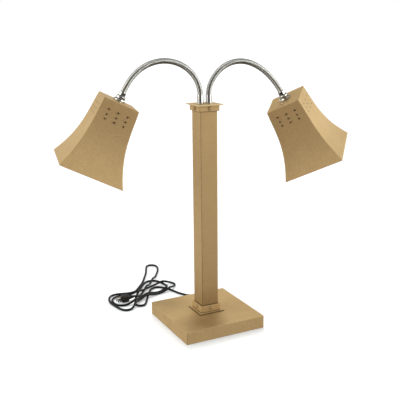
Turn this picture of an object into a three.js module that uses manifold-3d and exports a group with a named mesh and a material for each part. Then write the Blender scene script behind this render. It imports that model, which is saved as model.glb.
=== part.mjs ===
// Two-lamp food warmer: a weighted square base, a square post and two chrome
// goosenecks, each with a flared square shade over a reflector lamp.
// Millimetres, +Z up, origin at the centre of the base's underside.
import * as THREE from 'three';
import { mergeVertices } from 'three/addons/utils/BufferGeometryUtils.js';
import Module from 'manifold-3d';

const wasm = await Module();
wasm.setup();

// ---------------------------------------------------------------- dimensions
const GAP = 0.3;                 // play left between pieces that touch
const BASE_W = 254;              // square base, outside
const BASE_TOP = 39.4;           // top of the base above the table
const SHEET = 2;                 // base cover sheet
const PAD_W = 246, PAD_T = 2;    // non-slip pad under the base
const PLATE_W = 249.2, PLATE_T = 3;
const POST_W = 54, POST_WALL = 2, POST_TOP = 657.4;
const FLANGE_W = 79.4, FLANGE_T = 2.9;
const COLLAR_W = 63.6, COLLAR_BORE = 54.6;
const LOWER_COLLAR_TOP = 62.0;
const CAP_TOP = 661.0, CAP_T = 3.0, CAP_COLLAR_BOTTOM = 641.7;
const COLLAR_SCREW_Z = [53.4, 649.4];
const NECK_X = 13.5;             // neck fittings either side of the post's centre
const NECK_D = 16, NECK_BORE = 9;
const FERRULE_TOP = 686;
const NECK_SEGMENTS = 6, NECK_PLAY = 3.8;
const SHADE_TOP = 102.3, SHADE_MOUTH = 185, SHADE_H = 208.4, SHADE_T = 1.6;
const VENT_D = 4.3, VENT_X = [-28, 0, 28], VENT_ROW = [25.5, 39.7, 53];
const GLAND_X = 40, GLAND_Z = 14.5, GLAND_END = 162.7;
const SWITCH_X = -44, SWITCH_Z = 21;
const CORD_D = 7.2;
const PLUG_W = 26, PLUG_H = 24.6, PLUG_FACE = 42;   // plug body, and its face from the cord's end

// Each arm: centre of the shade's top, the shade's own axes (z points up its
// stem) and the six control points of the neck's centreline.
const ARMS = {
  left: {
    side: -1, top: [-240.0, 41.7, 676.9],
    x: [0.884, -0.139, -0.447], z: [0.429, -0.140, 0.892],
    neck: [[-13.5, 0, 687], [-13.5, 0, 719], [-33.8, 3.1, 806], [-156.4, 27.6, 818.7], [-204, 29.9, 751.9], [-228, 37.7, 701.9]],
  },
  right: {
    side: 1, top: [241.3, -45.0, 663.7],
    x: [0.567, -0.707, 0.423], z: [-0.508, 0.104, 0.855],
    neck: [[13.5, 0, 687], [13.5, 0, 722.9], [38.4, -5.6, 779.4], [124.1, -21.6, 840.6], [205.6, -37.7, 723.8], [227.1, -42, 687.6]],
  },
};

// ---------------------------------------------------------------- materials
const mat = (color, roughness, metalness) => new THREE.MeshStandardMaterial({ color, roughness, metalness });
const GOLD = () => mat(0xb89a6c, 0.5, 0.35);
const CHROME = () => mat(0xd4d6d8, 0.14, 1.0);
const BLACK = () => mat(0x151515, 0.6, 0.0);
const RUBBER = () => mat(0x1c1c1c, 0.85, 0.0);
const IRON = () => mat(0x3b3c3e, 0.7, 0.5);
const STEEL = () => mat(0x8c8e90, 0.45, 0.8);
const CERAMIC = () => mat(0xece8dd, 0.35, 0.0);
const GLASS = () => mat(0xd8d2c4, 0.15, 0.1);
const BRASS = () => mat(0xb59a55, 0.35, 0.9);

// ---------------------------------------------------------------- geometry helpers
// One closed mesh with merged corners, faces outward.
function tidy(geometry) {
  let g = geometry.clone();
  g.deleteAttribute('normal');
  g.deleteAttribute('uv');
  g = mergeVertices(g, 1e-4);
  const p = g.attributes.position, ix = g.index.array, keep = [];
  let volume = 0;
  const a = new THREE.Vector3(), b = new THREE.Vector3(), c = new THREE.Vector3();
  for (let i = 0; i < ix.length; i += 3) {
    const [u, v, w] = [ix[i], ix[i + 1], ix[i + 2]];
    if (u === v || v === w || u === w) continue;
    keep.push(u, v, w);
    a.fromBufferAttribute(p, u); b.fromBufferAttribute(p, v); c.fromBufferAttribute(p, w);
    volume += a.dot(b.cross(c));
  }
  if (volume < 0) for (let i = 0; i < keep.length; i += 3) [keep[i + 1], keep[i + 2]] = [keep[i + 2], keep[i + 1]];
  g.setIndex(keep);
  return g;
}
const solid = (geometry) => {
  const g = tidy(geometry);
  return new wasm.Manifold(new wasm.Mesh({
    numProp: 3,
    vertProperties: new Float32Array(g.attributes.position.array),
    triVerts: new Uint32Array(g.index.array),
  }));
};
const shaped = (body) => {
  const m = body.getMesh();
  const g = new THREE.BufferGeometry();
  g.setAttribute('position', new THREE.BufferAttribute(new Float32Array(m.vertProperties), 3));
  g.setIndex(new THREE.BufferAttribute(new Uint32Array(m.triVerts), 1));
  return g;
};
const cut = (geometry, ...tools) => shaped(tools.reduce((body, t) => body.subtract(solid(t)), solid(geometry)));
const join = (geometry, ...others) => shaped(others.reduce((body, t) => body.add(solid(t)), solid(geometry)));

const box = (w, d, h, x = 0, y = 0, z0 = 0) => new THREE.BoxGeometry(w, d, h).translate(x, y, z0 + h / 2);
// Lathe about +Z; profile is [radius, z] pairs.
const turned = (profile, sides = 16, z = 0) =>
  new THREE.LatheGeometry(profile.map(([r, h]) => new THREE.Vector2(r, h)), sides).rotateX(Math.PI / 2).translate(0, 0, z);
const rod = (d, z0, z1, sides = 16) => turned([[0, z0], [d / 2, z0], [d / 2, z1], [0, z1]], sides);
const alongX = (g) => g.rotateY(Math.PI / 2);   // +Z turned to +X
const alongY = (g) => g.rotateX(-Math.PI / 2);  // +Z turned to +Y
const polygon = (r, n, turn = 0) => Array.from({ length: n }, (_, i) => {
  const t = turn + (2 * Math.PI * i) / n;
  return new THREE.Vector2(r * Math.cos(t), r * Math.sin(t));
});
function squareShape(w, chamfer = 0) {
  const h = w / 2, c = chamfer;
  return c ? new THREE.Shape([[-h + c, -h], [h - c, -h], [h, -h + c], [h, h - c], [h - c, h], [-h + c, h], [-h, h - c], [-h, -h + c]].map(([x, y]) => new THREE.Vector2(x, y)))
    : new THREE.Shape([[-h, -h], [h, -h], [h, h], [-h, h]].map(([x, y]) => new THREE.Vector2(x, y)));
}
const slab = (shape, t, z0) => new THREE.ExtrudeGeometry(shape, { depth: t, bevelEnabled: false, curveSegments: 10 }).translate(0, 0, z0);
const hexNut = (across, bore, t, z0) => {
  const s = new THREE.Shape(polygon(across / Math.sqrt(3), 6, Math.PI / 6));
  s.holes.push(new THREE.Path(polygon(bore / 2, 16)));
  return slab(s, t, z0);
};

// A curve through given knots, stepped exactly from knot to knot.
class Knots extends THREE.Curve {
  constructor(points) { super(); this.knots = points; }
  getPoint(t) {
    const n = this.knots.length - 1, f = Math.min(Math.max(t, 0), 1) * n, i = Math.min(Math.floor(f + 1e-9), n - 1);
    return this.knots[i].clone().lerp(this.knots[i + 1], f - i);
  }
  getPointAt(t) { return this.getPoint(t); }
  getTangent(t) {
    const n = this.knots.length - 1, i = Math.round(Math.min(Math.max(t, 0), 1) * n);
    const a = this.knots[Math.max(i - 1, 0)], b = this.knots[i], c = this.knots[Math.min(i + 1, n)];
    const v = new THREE.Vector3();
    if (i > 0) v.add(b.clone().sub(a).normalize());
    if (i < n) v.add(c.clone().sub(b).normalize());
    return v.normalize();
  }
  getTangentAt(t) { return this.getTangent(t); }
}
// A tube with flat ends along knots; bore 0 makes it solid.
function tube(knots, d, sides, bore = 0, boreSides = 8) {
  const s = new THREE.Shape(polygon(d / 2, sides));
  if (bore) s.holes.push(new THREE.Path(polygon(bore / 2, boreSides)));
  return new THREE.ExtrudeGeometry(s, { steps: knots.length - 1, bevelEnabled: false, extrudePath: new Knots(knots) });
}
const V = (p) => new THREE.Vector3(...p);
function bezier(control, t) {
  let p = control.map(V);
  while (p.length > 1) p = p.slice(1).map((q, i) => p[i].clone().lerp(q, t));
  return p[0];
}

// ---------------------------------------------------------------- assembly
const warmer = new THREE.Group();
function put(name, geometry, material, parent = warmer) {
  const m = new THREE.Mesh(tidy(geometry), material);
  m.name = name;
  parent.add(m);
  return m;
}

// --- base: pad, bottom plate, ballast and folded sheet cover
put('non_slip_pad', slab(squareShape(PAD_W, 6), PAD_T, 0), RUBBER());
put('base_bottom_plate', box(PLATE_W, PLATE_W, PLATE_T, 0, 0, PAD_T + GAP), STEEL());
const FLOOR_IN = PAD_T + PLATE_T + 2 * GAP;
put('ballast_block', cut(box(206, 150, 18, 0, -33, FLOOR_IN), rod(52, 0, 40)), IRON());
put('base_cover', cut(
  box(BASE_W, BASE_W, BASE_TOP - 1, 0, 0, 1),
  box(BASE_W - 2 * SHEET, BASE_W - 2 * SHEET, BASE_TOP - SHEET + 1, 0, 0, -1),
  rod(44, 30, 50),
  alongY(rod(13.2, 110, 140)).translate(GLAND_X, 0, GLAND_Z),
  box(19.4, 20, 13.4, SWITCH_X, BASE_W / 2, SWITCH_Z - 6.7),
), GOLD());

// --- post and its two screwed collars
const postShape = squareShape(POST_W, 1.2);
postShape.holes.push(new THREE.Path(squareShape(POST_W - 2 * POST_WALL).getPoints().reverse()));
put('post', slab(postShape, POST_TOP - BASE_TOP - GAP, BASE_TOP + GAP), GOLD());

function collarScrewHoles(z) {
  return [rod(5, -60, 60, 12).rotateX(Math.PI / 2), rod(5, -60, 60, 12).rotateY(Math.PI / 2)].map((g) => g.translate(0, 0, z));
}
const lowerSleeve = squareShape(COLLAR_W, 1.2);
put('lower_collar', cut(
  join(slab(squareShape(FLANGE_W, 1), FLANGE_T, BASE_TOP + GAP), slab(lowerSleeve, LOWER_COLLAR_TOP - 1.2 - BASE_TOP - GAP, BASE_TOP + GAP),
    new THREE.CylinderGeometry((COLLAR_W - 2.4) / Math.SQRT2, COLLAR_W / Math.SQRT2, 1.2, 4, 1).rotateX(Math.PI / 2).rotateZ(Math.PI / 4).translate(0, 0, LOWER_COLLAR_TOP - 0.6)),
  box(COLLAR_BORE, COLLAR_BORE, 60, 0, 0, 20), ...collarScrewHoles(COLLAR_SCREW_Z[0])), GOLD());
put('upper_collar', cut(
  join(slab(squareShape(FLANGE_W, 1), CAP_T, CAP_TOP - CAP_T), slab(squareShape(COLLAR_W, 1.2), CAP_TOP - CAP_COLLAR_BOTTOM - 2.2, CAP_COLLAR_BOTTOM + 1.2),
    new THREE.CylinderGeometry(COLLAR_W / Math.SQRT2, (COLLAR_W - 2.4) / Math.SQRT2, 1.2, 4, 1).rotateX(Math.PI / 2).rotateZ(Math.PI / 4).translate(0, 0, CAP_COLLAR_BOTTOM + 0.6)),
  box(COLLAR_BORE, COLLAR_BORE, 30, 0, 0, CAP_TOP - CAP_T - 30),
  rod(10.8, 640, 680).translate(-NECK_X, 0, 0), rod(10.8, 640, 680).translate(NECK_X, 0, 0),
  ...collarScrewHoles(COLLAR_SCREW_Z[1])), GOLD());

// Dome-headed clamp screw, head outward along +Z, seated at z = 0.
const clampScrew = () => turned([[0, -4.2], [2.15, -4.2], [2.15, 0], [5.4, 0], [5.2, 1.1], [3.6, 2.5], [0, 3.2]], 10);
const FACES = [['front', Math.PI / 2, 0], ['rear', -Math.PI / 2, 0], ['right', 0, Math.PI / 2], ['left', 0, -Math.PI / 2]];
['lower', 'upper'].forEach((where, k) => {
  for (const [face, rx, ry] of FACES) {
    put(`${where}_collar_screw_${face}`, clampScrew().translate(0, 0, COLLAR_W / 2 + GAP).rotateX(rx).rotateY(ry).translate(0, 0, COLLAR_SCREW_Z[k]), GOLD());
  }
});

// --- electrics in the base
put('cord_strain_relief', alongY(turned([[0, 120.9], [8.6, 120.9], [8.6, 124.6], [6.2, 124.6], [6.2, 127.3], [9, 127.3], [9, 130.3], [6.8, 131.6], [6.4, 140], [5.4, 152], [4.6, GLAND_END], [0, GLAND_END]])).translate(GLAND_X, 0, GLAND_Z), BLACK());
const SW_FACE = BASE_W / 2;
put('switch_housing', cut(
  join(box(22, 2.2, 16, SWITCH_X, SW_FACE + GAP + 1.1, SWITCH_Z - 8), box(18.8, 22, 12.8, SWITCH_X, SW_FACE - 9, SWITCH_Z - 6.4)),
  box(15.4, 9, 9.8, SWITCH_X, SW_FACE + 1, SWITCH_Z - 4.9)), BLACK());
// Rocker: a shallow vee lying along X that rocks about Z, tipped to "off" at rest.
const vee = new THREE.Shape([[-7.2, -1], [-4.5, -3.8], [4.5, -3.8], [7.2, -1], [7.2, 1.9], [0, 0.9], [-7.2, 1.9]].map(([x, y]) => new THREE.Vector2(x, y)));
put('switch_rocker', new THREE.ExtrudeGeometry(vee, { depth: 8.4, bevelEnabled: false }).translate(0, 0, -4.2)
  .rotateZ(THREE.MathUtils.degToRad(9)).translate(SWITCH_X, SW_FACE + 1.6, SWITCH_Z), BLACK());
put('terminal_block', box(46, 17, 13, 0, 70, FLOOR_IN), CERAMIC());
for (const [side, s] of [['left', -1], ['right', 1]]) {
  put(`${side}_lamp_lead`, tube([[NECK_X * s, 0, 647.6], [NECK_X * s, 0, 300], [NECK_X * s, 0, 60], [NECK_X * s, 1, 42], [NECK_X * s, 8, 33.4], [NECK_X * s, 20, 31], [NECK_X * s, 36, 29.5], [NECK_X * s, 46, 25], [NECK_X * s, 52, 17], [NECK_X * s, 57, 13.2], [NECK_X * s, 61.2, 12.6]].map(V), 5, 8), mat(0x2a2a2a, 0.6, 0));
}
put('supply_lead', tube([[GLAND_X, 120.5, GLAND_Z], [GLAND_X, 114, 14.4], [38.5, 104, 13.4], [32, 96, 12.6], [22, 92, 12], [15.5, 88.5, 12], [13.2, 84, 12], [13, 81, 12], [13, 78.8, 12]].map(V), 5, 8), mat(0x2a2a2a, 0.6, 0));
put('switch_lead', tube([[SWITCH_X, 106.6, SWITCH_Z - 2], [SWITCH_X, 102, 18.6], [-41, 96, 15.5], [-31, 91.5, 13], [-20, 90, 12.2], [-14, 87.5, 12], [-12.2, 84, 12], [-12, 81, 12], [-12, 78.8, 12]].map(V), 4, 8), mat(0x2a2a2a, 0.6, 0));

// --- arms
for (const [side, arm] of Object.entries(ARMS)) {
  const nx = NECK_X * arm.side;
  // fitting on the cap: rimmed sleeve with a threaded stub and a nut under the cap
  put(`${side}_neck_ferrule`, turned([[3, 648], [4.9, 648], [4.9, CAP_TOP + GAP], [10.5, CAP_TOP + GAP], [10.5, CAP_TOP + 2.6], [9.9, CAP_TOP + 3.3], [9.25, CAP_TOP + 3.5], [9.25, FERRULE_TOP - 0.8], [8.6, FERRULE_TOP], [3, FERRULE_TOP], [3, 648]]).translate(nx, 0, 0), CHROME());
  put(`${side}_neck_locknut`, hexNut(17, 10.5, 5, 652.6).translate(nx, 0, 0), STEEL());

  // neck: six lengths of flexible conduit with play between them
  const dense = Array.from({ length: 401 }, (_, i) => bezier(arm.neck, i / 400));
  const at = [0];
  for (let i = 1; i < dense.length; i++) at.push(at[i - 1] + dense[i].distanceTo(dense[i - 1]));
  const total = at[at.length - 1];
  const pointAt = (s) => {
    const i = Math.max(1, at.findIndex((v) => v >= s - 1e-9));
    const f = (s - at[i - 1]) / (at[i] - at[i - 1]);
    return dense[i - 1].clone().lerp(dense[i], f);
  };
  for (let k = 0; k < NECK_SEGMENTS; k++) {
    const s0 = (total * k) / NECK_SEGMENTS + (k === 0 ? 2.2 : NECK_PLAY / 2);
    const s1 = (total * (k + 1)) / NECK_SEGMENTS - (k === NECK_SEGMENTS - 1 ? GAP : NECK_PLAY / 2);
    const n = 4;
    put(`${side}_neck_segment_${k + 1}`, tube(Array.from({ length: n + 1 }, (_, i) => pointAt(s0 + ((s1 - s0) * i) / n)), NECK_D, 12, NECK_BORE, 6), CHROME());
  }

  // everything at the shade, in the shade's own frame
  const z = V(arm.z).normalize();
  const x = V(arm.x).addScaledVector(z, -V(arm.x).dot(z)).normalize();
  const head = new THREE.Group();
  new THREE.Matrix4().makeBasis(x, z.clone().cross(x), z).setPosition(...arm.top).decompose(head.position, head.quaternion, head.scale);
  warmer.add(head);

  // end fitting: neck ferrule, ring and the threaded stem that the shade turns on
  put(`${side}_swivel_stem`, turned([[0, -10.6], [4.9, -10.6], [4.9, 8.2], [12, 8.2], [13.5, 9.4], [13.5, 14.3], [12, 15.8], [8.4, 16.2], [9.4, 16.9], [9.7, 18], [9.7, 26.4], [8.9, 27.9], [0, 27.9]]), CHROME(), head);
  put(`${side}_swivel_cup`, turned([[5.3, 0.3], [16.2, 0.3], [17, 1.2], [17, 5.8], [15.4, 7.6], [13.6, 7.8], [5.3, 7.8], [5.3, 0.3]]), CHROME(), head);
  put(`${side}_stem_nut`, hexNut(17, 10.5, 4, -SHADE_T - 0.4 - 4), STEEL(), head);

  // shade: square sections flaring from the flat top to the mouth
  const width = (s) => SHADE_TOP + (SHADE_MOUTH - SHADE_TOP) * s + s * (1 - s) * (-42.57 - 138.0 * s + 75.86 * s * s);
  const stations = [0, 0.12, 0.26, 0.4, 0.54, 0.66, 0.77, 0.87, 0.94, 1];
  const loft = (inset, from, to, list) => {
    const rings = list.map((s) => [width(s) / 2 - inset, -from - (to - from) * s]);
    const pos = [], idx = [];
    rings.forEach(([h, zz]) => [[-h, -h], [h, -h], [h, h], [-h, h]].forEach(([px, py]) => pos.push(px, py, zz)));
    for (let i = 0; i + 1 < rings.length; i++) for (let j = 0; j < 4; j++) {
      const a = i * 4 + j, b = i * 4 + ((j + 1) % 4), c = a + 4, d = b + 4;
      idx.push(a, c, b, b, c, d);
    }
    const e = (rings.length - 1) * 4;
    idx.push(0, 1, 2, 0, 2, 3, e, e + 2, e + 1, e, e + 3, e + 2);
    const g = new THREE.BufferGeometry();
    g.setAttribute('position', new THREE.BufferAttribute(new Float32Array(pos), 3));
    g.setIndex(idx);
    return g;
  };
  const outer = loft(0, 0, SHADE_H, stations);
  const inner = loft(SHADE_T, 0, SHADE_H, [...stations.slice(0, -1), 1]);
  const hollow = shaped(solid(inner).subtract(solid(box(300, 300, SHADE_T, 0, 0, -SHADE_T))).add(solid(box(SHADE_MOUTH - 2 * SHADE_T, SHADE_MOUTH - 2 * SHADE_T, 2, 0, 0, -SHADE_H - 1))));
  const vents = [];
  for (const row of VENT_ROW) for (const vx of VENT_X) {
    vents.push(rod(VENT_D, -80, 80, 6).rotateX(Math.PI / 2).translate(vx, 0, -row));
    vents.push(rod(VENT_D, -80, 80, 6).rotateY(Math.PI / 2).translate(0, vx, -row));
  }
  put(`${side}_shade`, cut(shaped(solid(outer).subtract(solid(hollow))), rod(10.8, -5, 5), rod(3.6, -5, 5, 10).translate(-2.5, -26.6, 0), ...vents), GOLD(), head);
  put(`${side}_bracket_screw`, turned([[0, -6.4], [1.6, -6.4], [1.6, 0.3], [3.1, 0.3], [2.9, 1.2], [1.7, 2.1], [0, 2.3]], 12).translate(-2.5, -26.6, 0), CHROME(), head);

  // socket hanger: a strap screwed under the shade's top plate that carries the socket
  put(`${side}_socket_bracket`, cut(
    join(box(37, 50, 1.4, 0, -11, -SHADE_T - GAP - 1.4), box(37, 1.4, 35.1, 0, -35.3, -37), box(37, 56, 1.4, 0, -8, -37)),
    rod(21, -8, 2), rod(3.8, -8, 2, 10).translate(-2.5, -26.6, 0), rod(31, -45, -30, 24)), STEEL(), head);
  // porcelain lamp socket with its threaded well
  put(`${side}_lamp_socket`, turned([[0, -14], [13, -14], [15, -16], [15, -37.4], [20.5, -37.4], [20.5, -54], [19.4, -56], [14.2, -56], [14.2, -24], [0, -24]]), CERAMIC(), head);
  put(`${side}_bulb_cap`, turned([[0, -26], [4.5, -26], [12.9, -30], [12.9, -52.6], [0, -52.6]]), BRASS(), head);
  // reflector lamp envelope, open at its neck
  const env = [[12, -53], [14, -65], [18.5, -82], [31, -108], [46, -128], [58, -149], [63, -166], [58.5, -178], [40, -186], [0, -188.6]];
  put(`${side}_bulb_glass`, turned([...env, [0, -187.1], [39.4, -184.5], [57, -177], [61.5, -165.9], [56.6, -149.6], [44.8, -128.8], [29.7, -108.8], [17.1, -82.3], [12.6, -65.2], [10.6, -53], [12, -53]]), GLASS(), head);
}

// --- mains cord lying behind the base, and its moulded plug
// Centreline, from the end of the strain relief to the end of the plug's sleeve.
const CORD = [[40, 163, 14.5], [40, 166, 14.5], [40, 169.5, 14.2], [39.1, 182.3, 9.5], [36.1, 196.4, 5.3], [29.9, 209.9, 3.7],
  [18.4, 232.1, 3.7], [10.9, 255.9, 3.7], [4, 280, 3.7], [-13.5, 310.1, 3.7], [-25.7, 318.4, 3.7], [-35.6, 318.8, 3.7],
  [-44.7, 315, 3.7], [-56, 305.2, 3.7], [-70.3, 284.8, 3.7], [-82.8, 263.2, 3.7], [-94.4, 241.1, 3.7],
  [-106.3, 219.4, 3.7], [-119.5, 198.7, 3.7], [-127.3, 193.3, 3.7], [-136.8, 194, 3.7], [-144.5, 199.6, 3.7],
  [-147.3, 208.6, 3.7], [-145.4, 218.3, 3.7], [-136.4, 241.4, 3.7], [-125.6, 263.8, 3.7], [-113, 285.5, 3.7],
  [-100.7, 307.3, 3.7], [-86.2, 327.8, 3.7], [-70.8, 347.6, 3.7], [-55.7, 367.3, 3.7], [-45.2, 377.8, 3.7],
  [-36.6, 382.8, 3.7], [-27.1, 385.5, 3.7], [-22.1, 385.3, 3.7], [-13, 381.5, 3.7], [-5.5, 375, 3.7],
  [-0.4, 366.5, 3.7], [6.5, 342.4, 3.7], [7, 322.4, 4.5], [5.4, 307.7, 7.5], [2.4, 298.4, 10.1], [-3.4, 290.2, 11],
  [-11.2, 284.2, 8.7], [-24.7, 278.5, 5.1], [-44.4, 274.2, 3.8], [-78, 266, 11], [-87.9, 263.8, 10.7],
  [-102, 259, 7.8], [-114.8, 251.2, 6.8], [-130.5, 238.9, 9.8], [-139.2, 234, 11.2], [-152.7, 227.6, 8.4],
  [-166.7, 223.2, 5], [-176.6, 221.9, 3.9], [-186.5, 223.4, 3.7], [-195.2, 228.1, 3.7], [-201.7, 235.5, 3.7],
  [-205, 244.9, 3.7], [-205.9, 264.8, 3.7], [-204.4, 274.6, 3.7], [-200.5, 283.8, 3.7], [-194.3, 291.6, 3.7],
  [-186.4, 297.6, 3.7], [-177.1, 301.4, 3.7], [-162.2, 302.9, 3.7], [-142.5, 299.6, 4], [-122.9, 296.4, 7.5],
  [-113.2, 297.2, 10.2], [-103.5, 300, 11.1], [-94.5, 304.1, 8.9], [-78.7, 315.8, 4.2], [-56.6, 327.9, 3.7],
  [-33.8, 338.3, 3.8], [-19.2, 341.6, 5.7], [5.3, 343.2, 11.3], [20.1, 341.1, 8.3], [29.3, 338, 5.8],
  [36.8, 331.6, 4.2], [39.8, 322.2, 3.7], [38.1, 312.4, 3.7], [33, 303.8, 4], [18.5, 290.2, 7.4], [6.6, 281.4, 11],
  [-2.1, 276.2, 10.4], [-20.2, 268.7, 5.5], [-44.6, 262.5, 3.7], [-69.2, 257.3, 6.9], [-88.4, 252.5, 11.2],
  [-102.7, 248.3, 8.4], [-115.6, 241, 5.8], [-127.7, 231.9, 6.1], [-147.2, 209.7, 11.4], [-159.8, 194.5, 6.8],
  [-171.1, 184.8, 4.2], [-180.3, 180.9, 3.7], [-190.1, 182, 3.7], [-197.9, 188, 3.7], [-202.6, 196.8, 3.7],
  [-208.8, 221, 3.7], [-212.9, 245.8, 3.7], [-213.8, 265.7, 3.7], [-209.4, 290.3, 3.7], [-203.5, 304, 3.7],
  [-197.6, 312.1, 3.7], [-189.8, 318.3, 3.7], [-180.4, 321.5, 3.7], [-170.5, 321.9, 3.7], [-131.8, 312.6, 3.7],
  [-121.9, 312.5, 3.7], [-112.3, 315, 3.7], [-103.8, 320, 3.7], [-87.4, 338.6, 3.7], [-72.2, 358.3, 3.7],
  [-56.9, 378.2, 3.7], [-43.7, 399.5, 3.7], [-31.3, 421.2, 3.7], [-18.9, 443, 3.7], [-7.1, 465, 3.7],
  [3.3, 487.7, 3.7], [13.3, 510.5, 3.7], [22.1, 528.4, 3.7], [28.7, 535.7, 3.7], [38, 538.8, 3.7], [47.4, 536.2, 3.7],
  [53.8, 528.7, 3.7], [56.1, 519.1, 3.7], [55.1, 504.3, 3.7], [47, 480.7, 3.7], [35.6, 458.4, 3.7], [22.5, 437.1, 3.7],
  [9.2, 415.8, 3.8], [-14.2, 383.9, 11.1], [-29.5, 364.2, 6.5], [-42.4, 348.6, 6], [-58.9, 330, 11],
  [-65.1, 322, 11.5], [-81.4, 303.4, 6], [-94.7, 288.6, 3.7], [-106.6, 272.6, 4.8], [-113.4, 265.8, 7],
  [-126.1, 259.6, 11.2], [-132, 259.2, 12.5], [-136, 259, 12.5]];
put('power_cord', tube(CORD.map(V), CORD_D, 8), BLACK());

const plug = new THREE.Group();
const forward = new THREE.Vector3(-0.998, -0.06, 0).normalize();
new THREE.Matrix4().makeBasis(new THREE.Vector3(0, 0, 1).cross(forward).negate(), new THREE.Vector3(0, 0, 1), forward)
  .setPosition(...CORD[CORD.length - 1]).decompose(plug.position, plug.quaternion, plug.scale);
warmer.add(plug);
const grip = new THREE.Shape(Array.from({ length: 20 }, (_, i) => {
  const t = (2 * Math.PI * (i + 0.5)) / 20, c = Math.cos(t), s = Math.sin(t), k = (Math.abs(c) ** 4 + Math.abs(s) ** 4) ** -0.25;
  return new THREE.Vector2((PLUG_W / 2 - 2.5) * c * k, (PLUG_H / 2 - 2.5) * s * k);
}));
const BLADE = [[-6.35, -3.8], [6.35, -3.8]], EARTH = [0, 6.8], PRONG_BASE = 19.6;
put('plug_body', cut(
  join(turned([[0, GAP], [4.7, GAP], [5.6, 8], [6.8, 14], [7.4, 20], [0, 20]]),
    new THREE.ExtrudeGeometry(grip, { depth: PLUG_FACE - 16 - 5, bevelEnabled: true, bevelThickness: 2.5, bevelSize: 2.5, bevelSegments: 2 }).translate(0, 0, 18.5)),
  rod(PRONG_BASE + 0.8, PLUG_FACE - 3.4, PLUG_FACE + 9)), BLACK(), plug);
put('plug_prongs', join(rod(PRONG_BASE, PLUG_FACE - 3, PLUG_FACE),
  ...BLADE.map(([px, py]) => box(1.5, 6.35, 20, px, py, PLUG_FACE - 2)),
  turned([[0, PLUG_FACE - 2], [2.4, PLUG_FACE - 2], [2.4, PLUG_FACE + 18.2], [1.2, PLUG_FACE + 20.4], [0, PLUG_FACE + 20.4]], 12).translate(...EARTH, 0)), BRASS(), plug);

export default warmer;
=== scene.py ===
"""Two-lamp food warmer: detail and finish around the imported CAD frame. Metres, +Z up."""
import math
import bmesh
import bpy
import numpy as np
from mathutils import Matrix, Vector


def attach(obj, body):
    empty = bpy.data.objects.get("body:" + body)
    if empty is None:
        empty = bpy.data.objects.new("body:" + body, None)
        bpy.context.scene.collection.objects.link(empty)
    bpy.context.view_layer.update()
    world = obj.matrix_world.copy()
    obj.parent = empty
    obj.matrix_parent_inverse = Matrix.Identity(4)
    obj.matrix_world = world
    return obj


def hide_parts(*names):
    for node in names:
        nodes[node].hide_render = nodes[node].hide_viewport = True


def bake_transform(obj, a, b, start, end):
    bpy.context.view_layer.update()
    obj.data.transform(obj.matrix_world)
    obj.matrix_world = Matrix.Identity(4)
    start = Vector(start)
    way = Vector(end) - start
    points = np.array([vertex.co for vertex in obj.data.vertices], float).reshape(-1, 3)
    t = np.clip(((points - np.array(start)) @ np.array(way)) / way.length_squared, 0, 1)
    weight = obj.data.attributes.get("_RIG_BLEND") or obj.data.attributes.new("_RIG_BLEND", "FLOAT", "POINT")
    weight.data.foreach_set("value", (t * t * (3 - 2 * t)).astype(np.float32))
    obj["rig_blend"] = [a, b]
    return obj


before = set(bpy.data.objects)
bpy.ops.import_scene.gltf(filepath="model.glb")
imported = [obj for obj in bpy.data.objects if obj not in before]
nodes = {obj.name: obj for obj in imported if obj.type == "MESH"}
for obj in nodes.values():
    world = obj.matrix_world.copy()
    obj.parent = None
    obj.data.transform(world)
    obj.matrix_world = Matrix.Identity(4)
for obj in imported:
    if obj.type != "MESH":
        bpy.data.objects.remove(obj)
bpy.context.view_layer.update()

MM = 0.001
scene = bpy.context.scene
scene.view_settings.view_transform = "Standard"

# ------------------------------------------------------------------ camera
yaw, pitch, roll = 0.46627, 0.24682, -0.010248
fwd = Vector((math.sin(yaw) * math.cos(pitch), math.cos(yaw) * math.cos(pitch), -math.sin(pitch)))
right0 = Vector((math.cos(yaw), -math.sin(yaw), 0.0))
up0 = right0.cross(fwd)
right = math.cos(roll) * right0 + math.sin(roll) * up0
up = -math.sin(roll) * right0 + math.cos(roll) * up0
cam_data = bpy.data.cameras.new("studio_camera")
cam_data.sensor_width = 36.0
cam_data.lens = 62.181
cam_data.clip_start, cam_data.clip_end = 0.05, 60.0
cam = bpy.data.objects.new("studio_camera", cam_data)
scene.collection.objects.link(cam)
cam.matrix_world = Matrix(((right.x, up.x, -fwd.x, -0.894524),
                           (right.y, up.y, -fwd.y, -1.742853),
                           (right.z, up.z, -fwd.z, 0.873609),
                           (0, 0, 0, 1)))
scene.camera = cam
bpy.context.view_layer.update()


# ------------------------------------------------------------------ mesh helpers
def add_object(name, verts, faces, matrix=None):
    me = bpy.data.meshes.new(name)
    me.from_pydata([tuple(v) for v in verts], [], [tuple(f) for f in faces])
    me.validate()
    ob = bpy.data.objects.new(name, me)
    scene.collection.objects.link(ob)
    if matrix is not None:
        ob.matrix_world = matrix
    return ob


def face_out(ob):
    bm = bmesh.new()
    bm.from_mesh(ob.data)
    bmesh.ops.recalc_face_normals(bm, faces=bm.faces)
    bm.to_mesh(ob.data)
    bm.free()


def mark(ob, angle=38.0):
    """Smooth shading between soft edges, and how sharp each point's edges are, outward and inward; the inward measure
    is the mask for painted shade in creases.
    """
    me = ob.data
    bm = bmesh.new()
    bm.from_mesh(me)
    edge = bm.verts.layers.float.get("edge") or bm.verts.layers.float.new("edge")
    crease = bm.verts.layers.float.get("crease") or bm.verts.layers.float.new("crease")
    for v in bm.verts:
        hi = lo = 0.0
        for e in v.link_edges:
            if len(e.link_faces) == 2:
                a = e.calc_face_angle_signed(0.0)
                hi, lo = max(hi, a), min(lo, a)
        v[edge] = min(1.0, max(0.0, hi - 0.12) / 0.2)
        v[crease] = min(1.0, max(0.0, -lo - 0.12) / 0.2)
    bm.to_mesh(me)
    bm.free()
    me.shade_smooth()
    me.set_sharp_from_angle(angle=math.radians(angle))
    return ob


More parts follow.
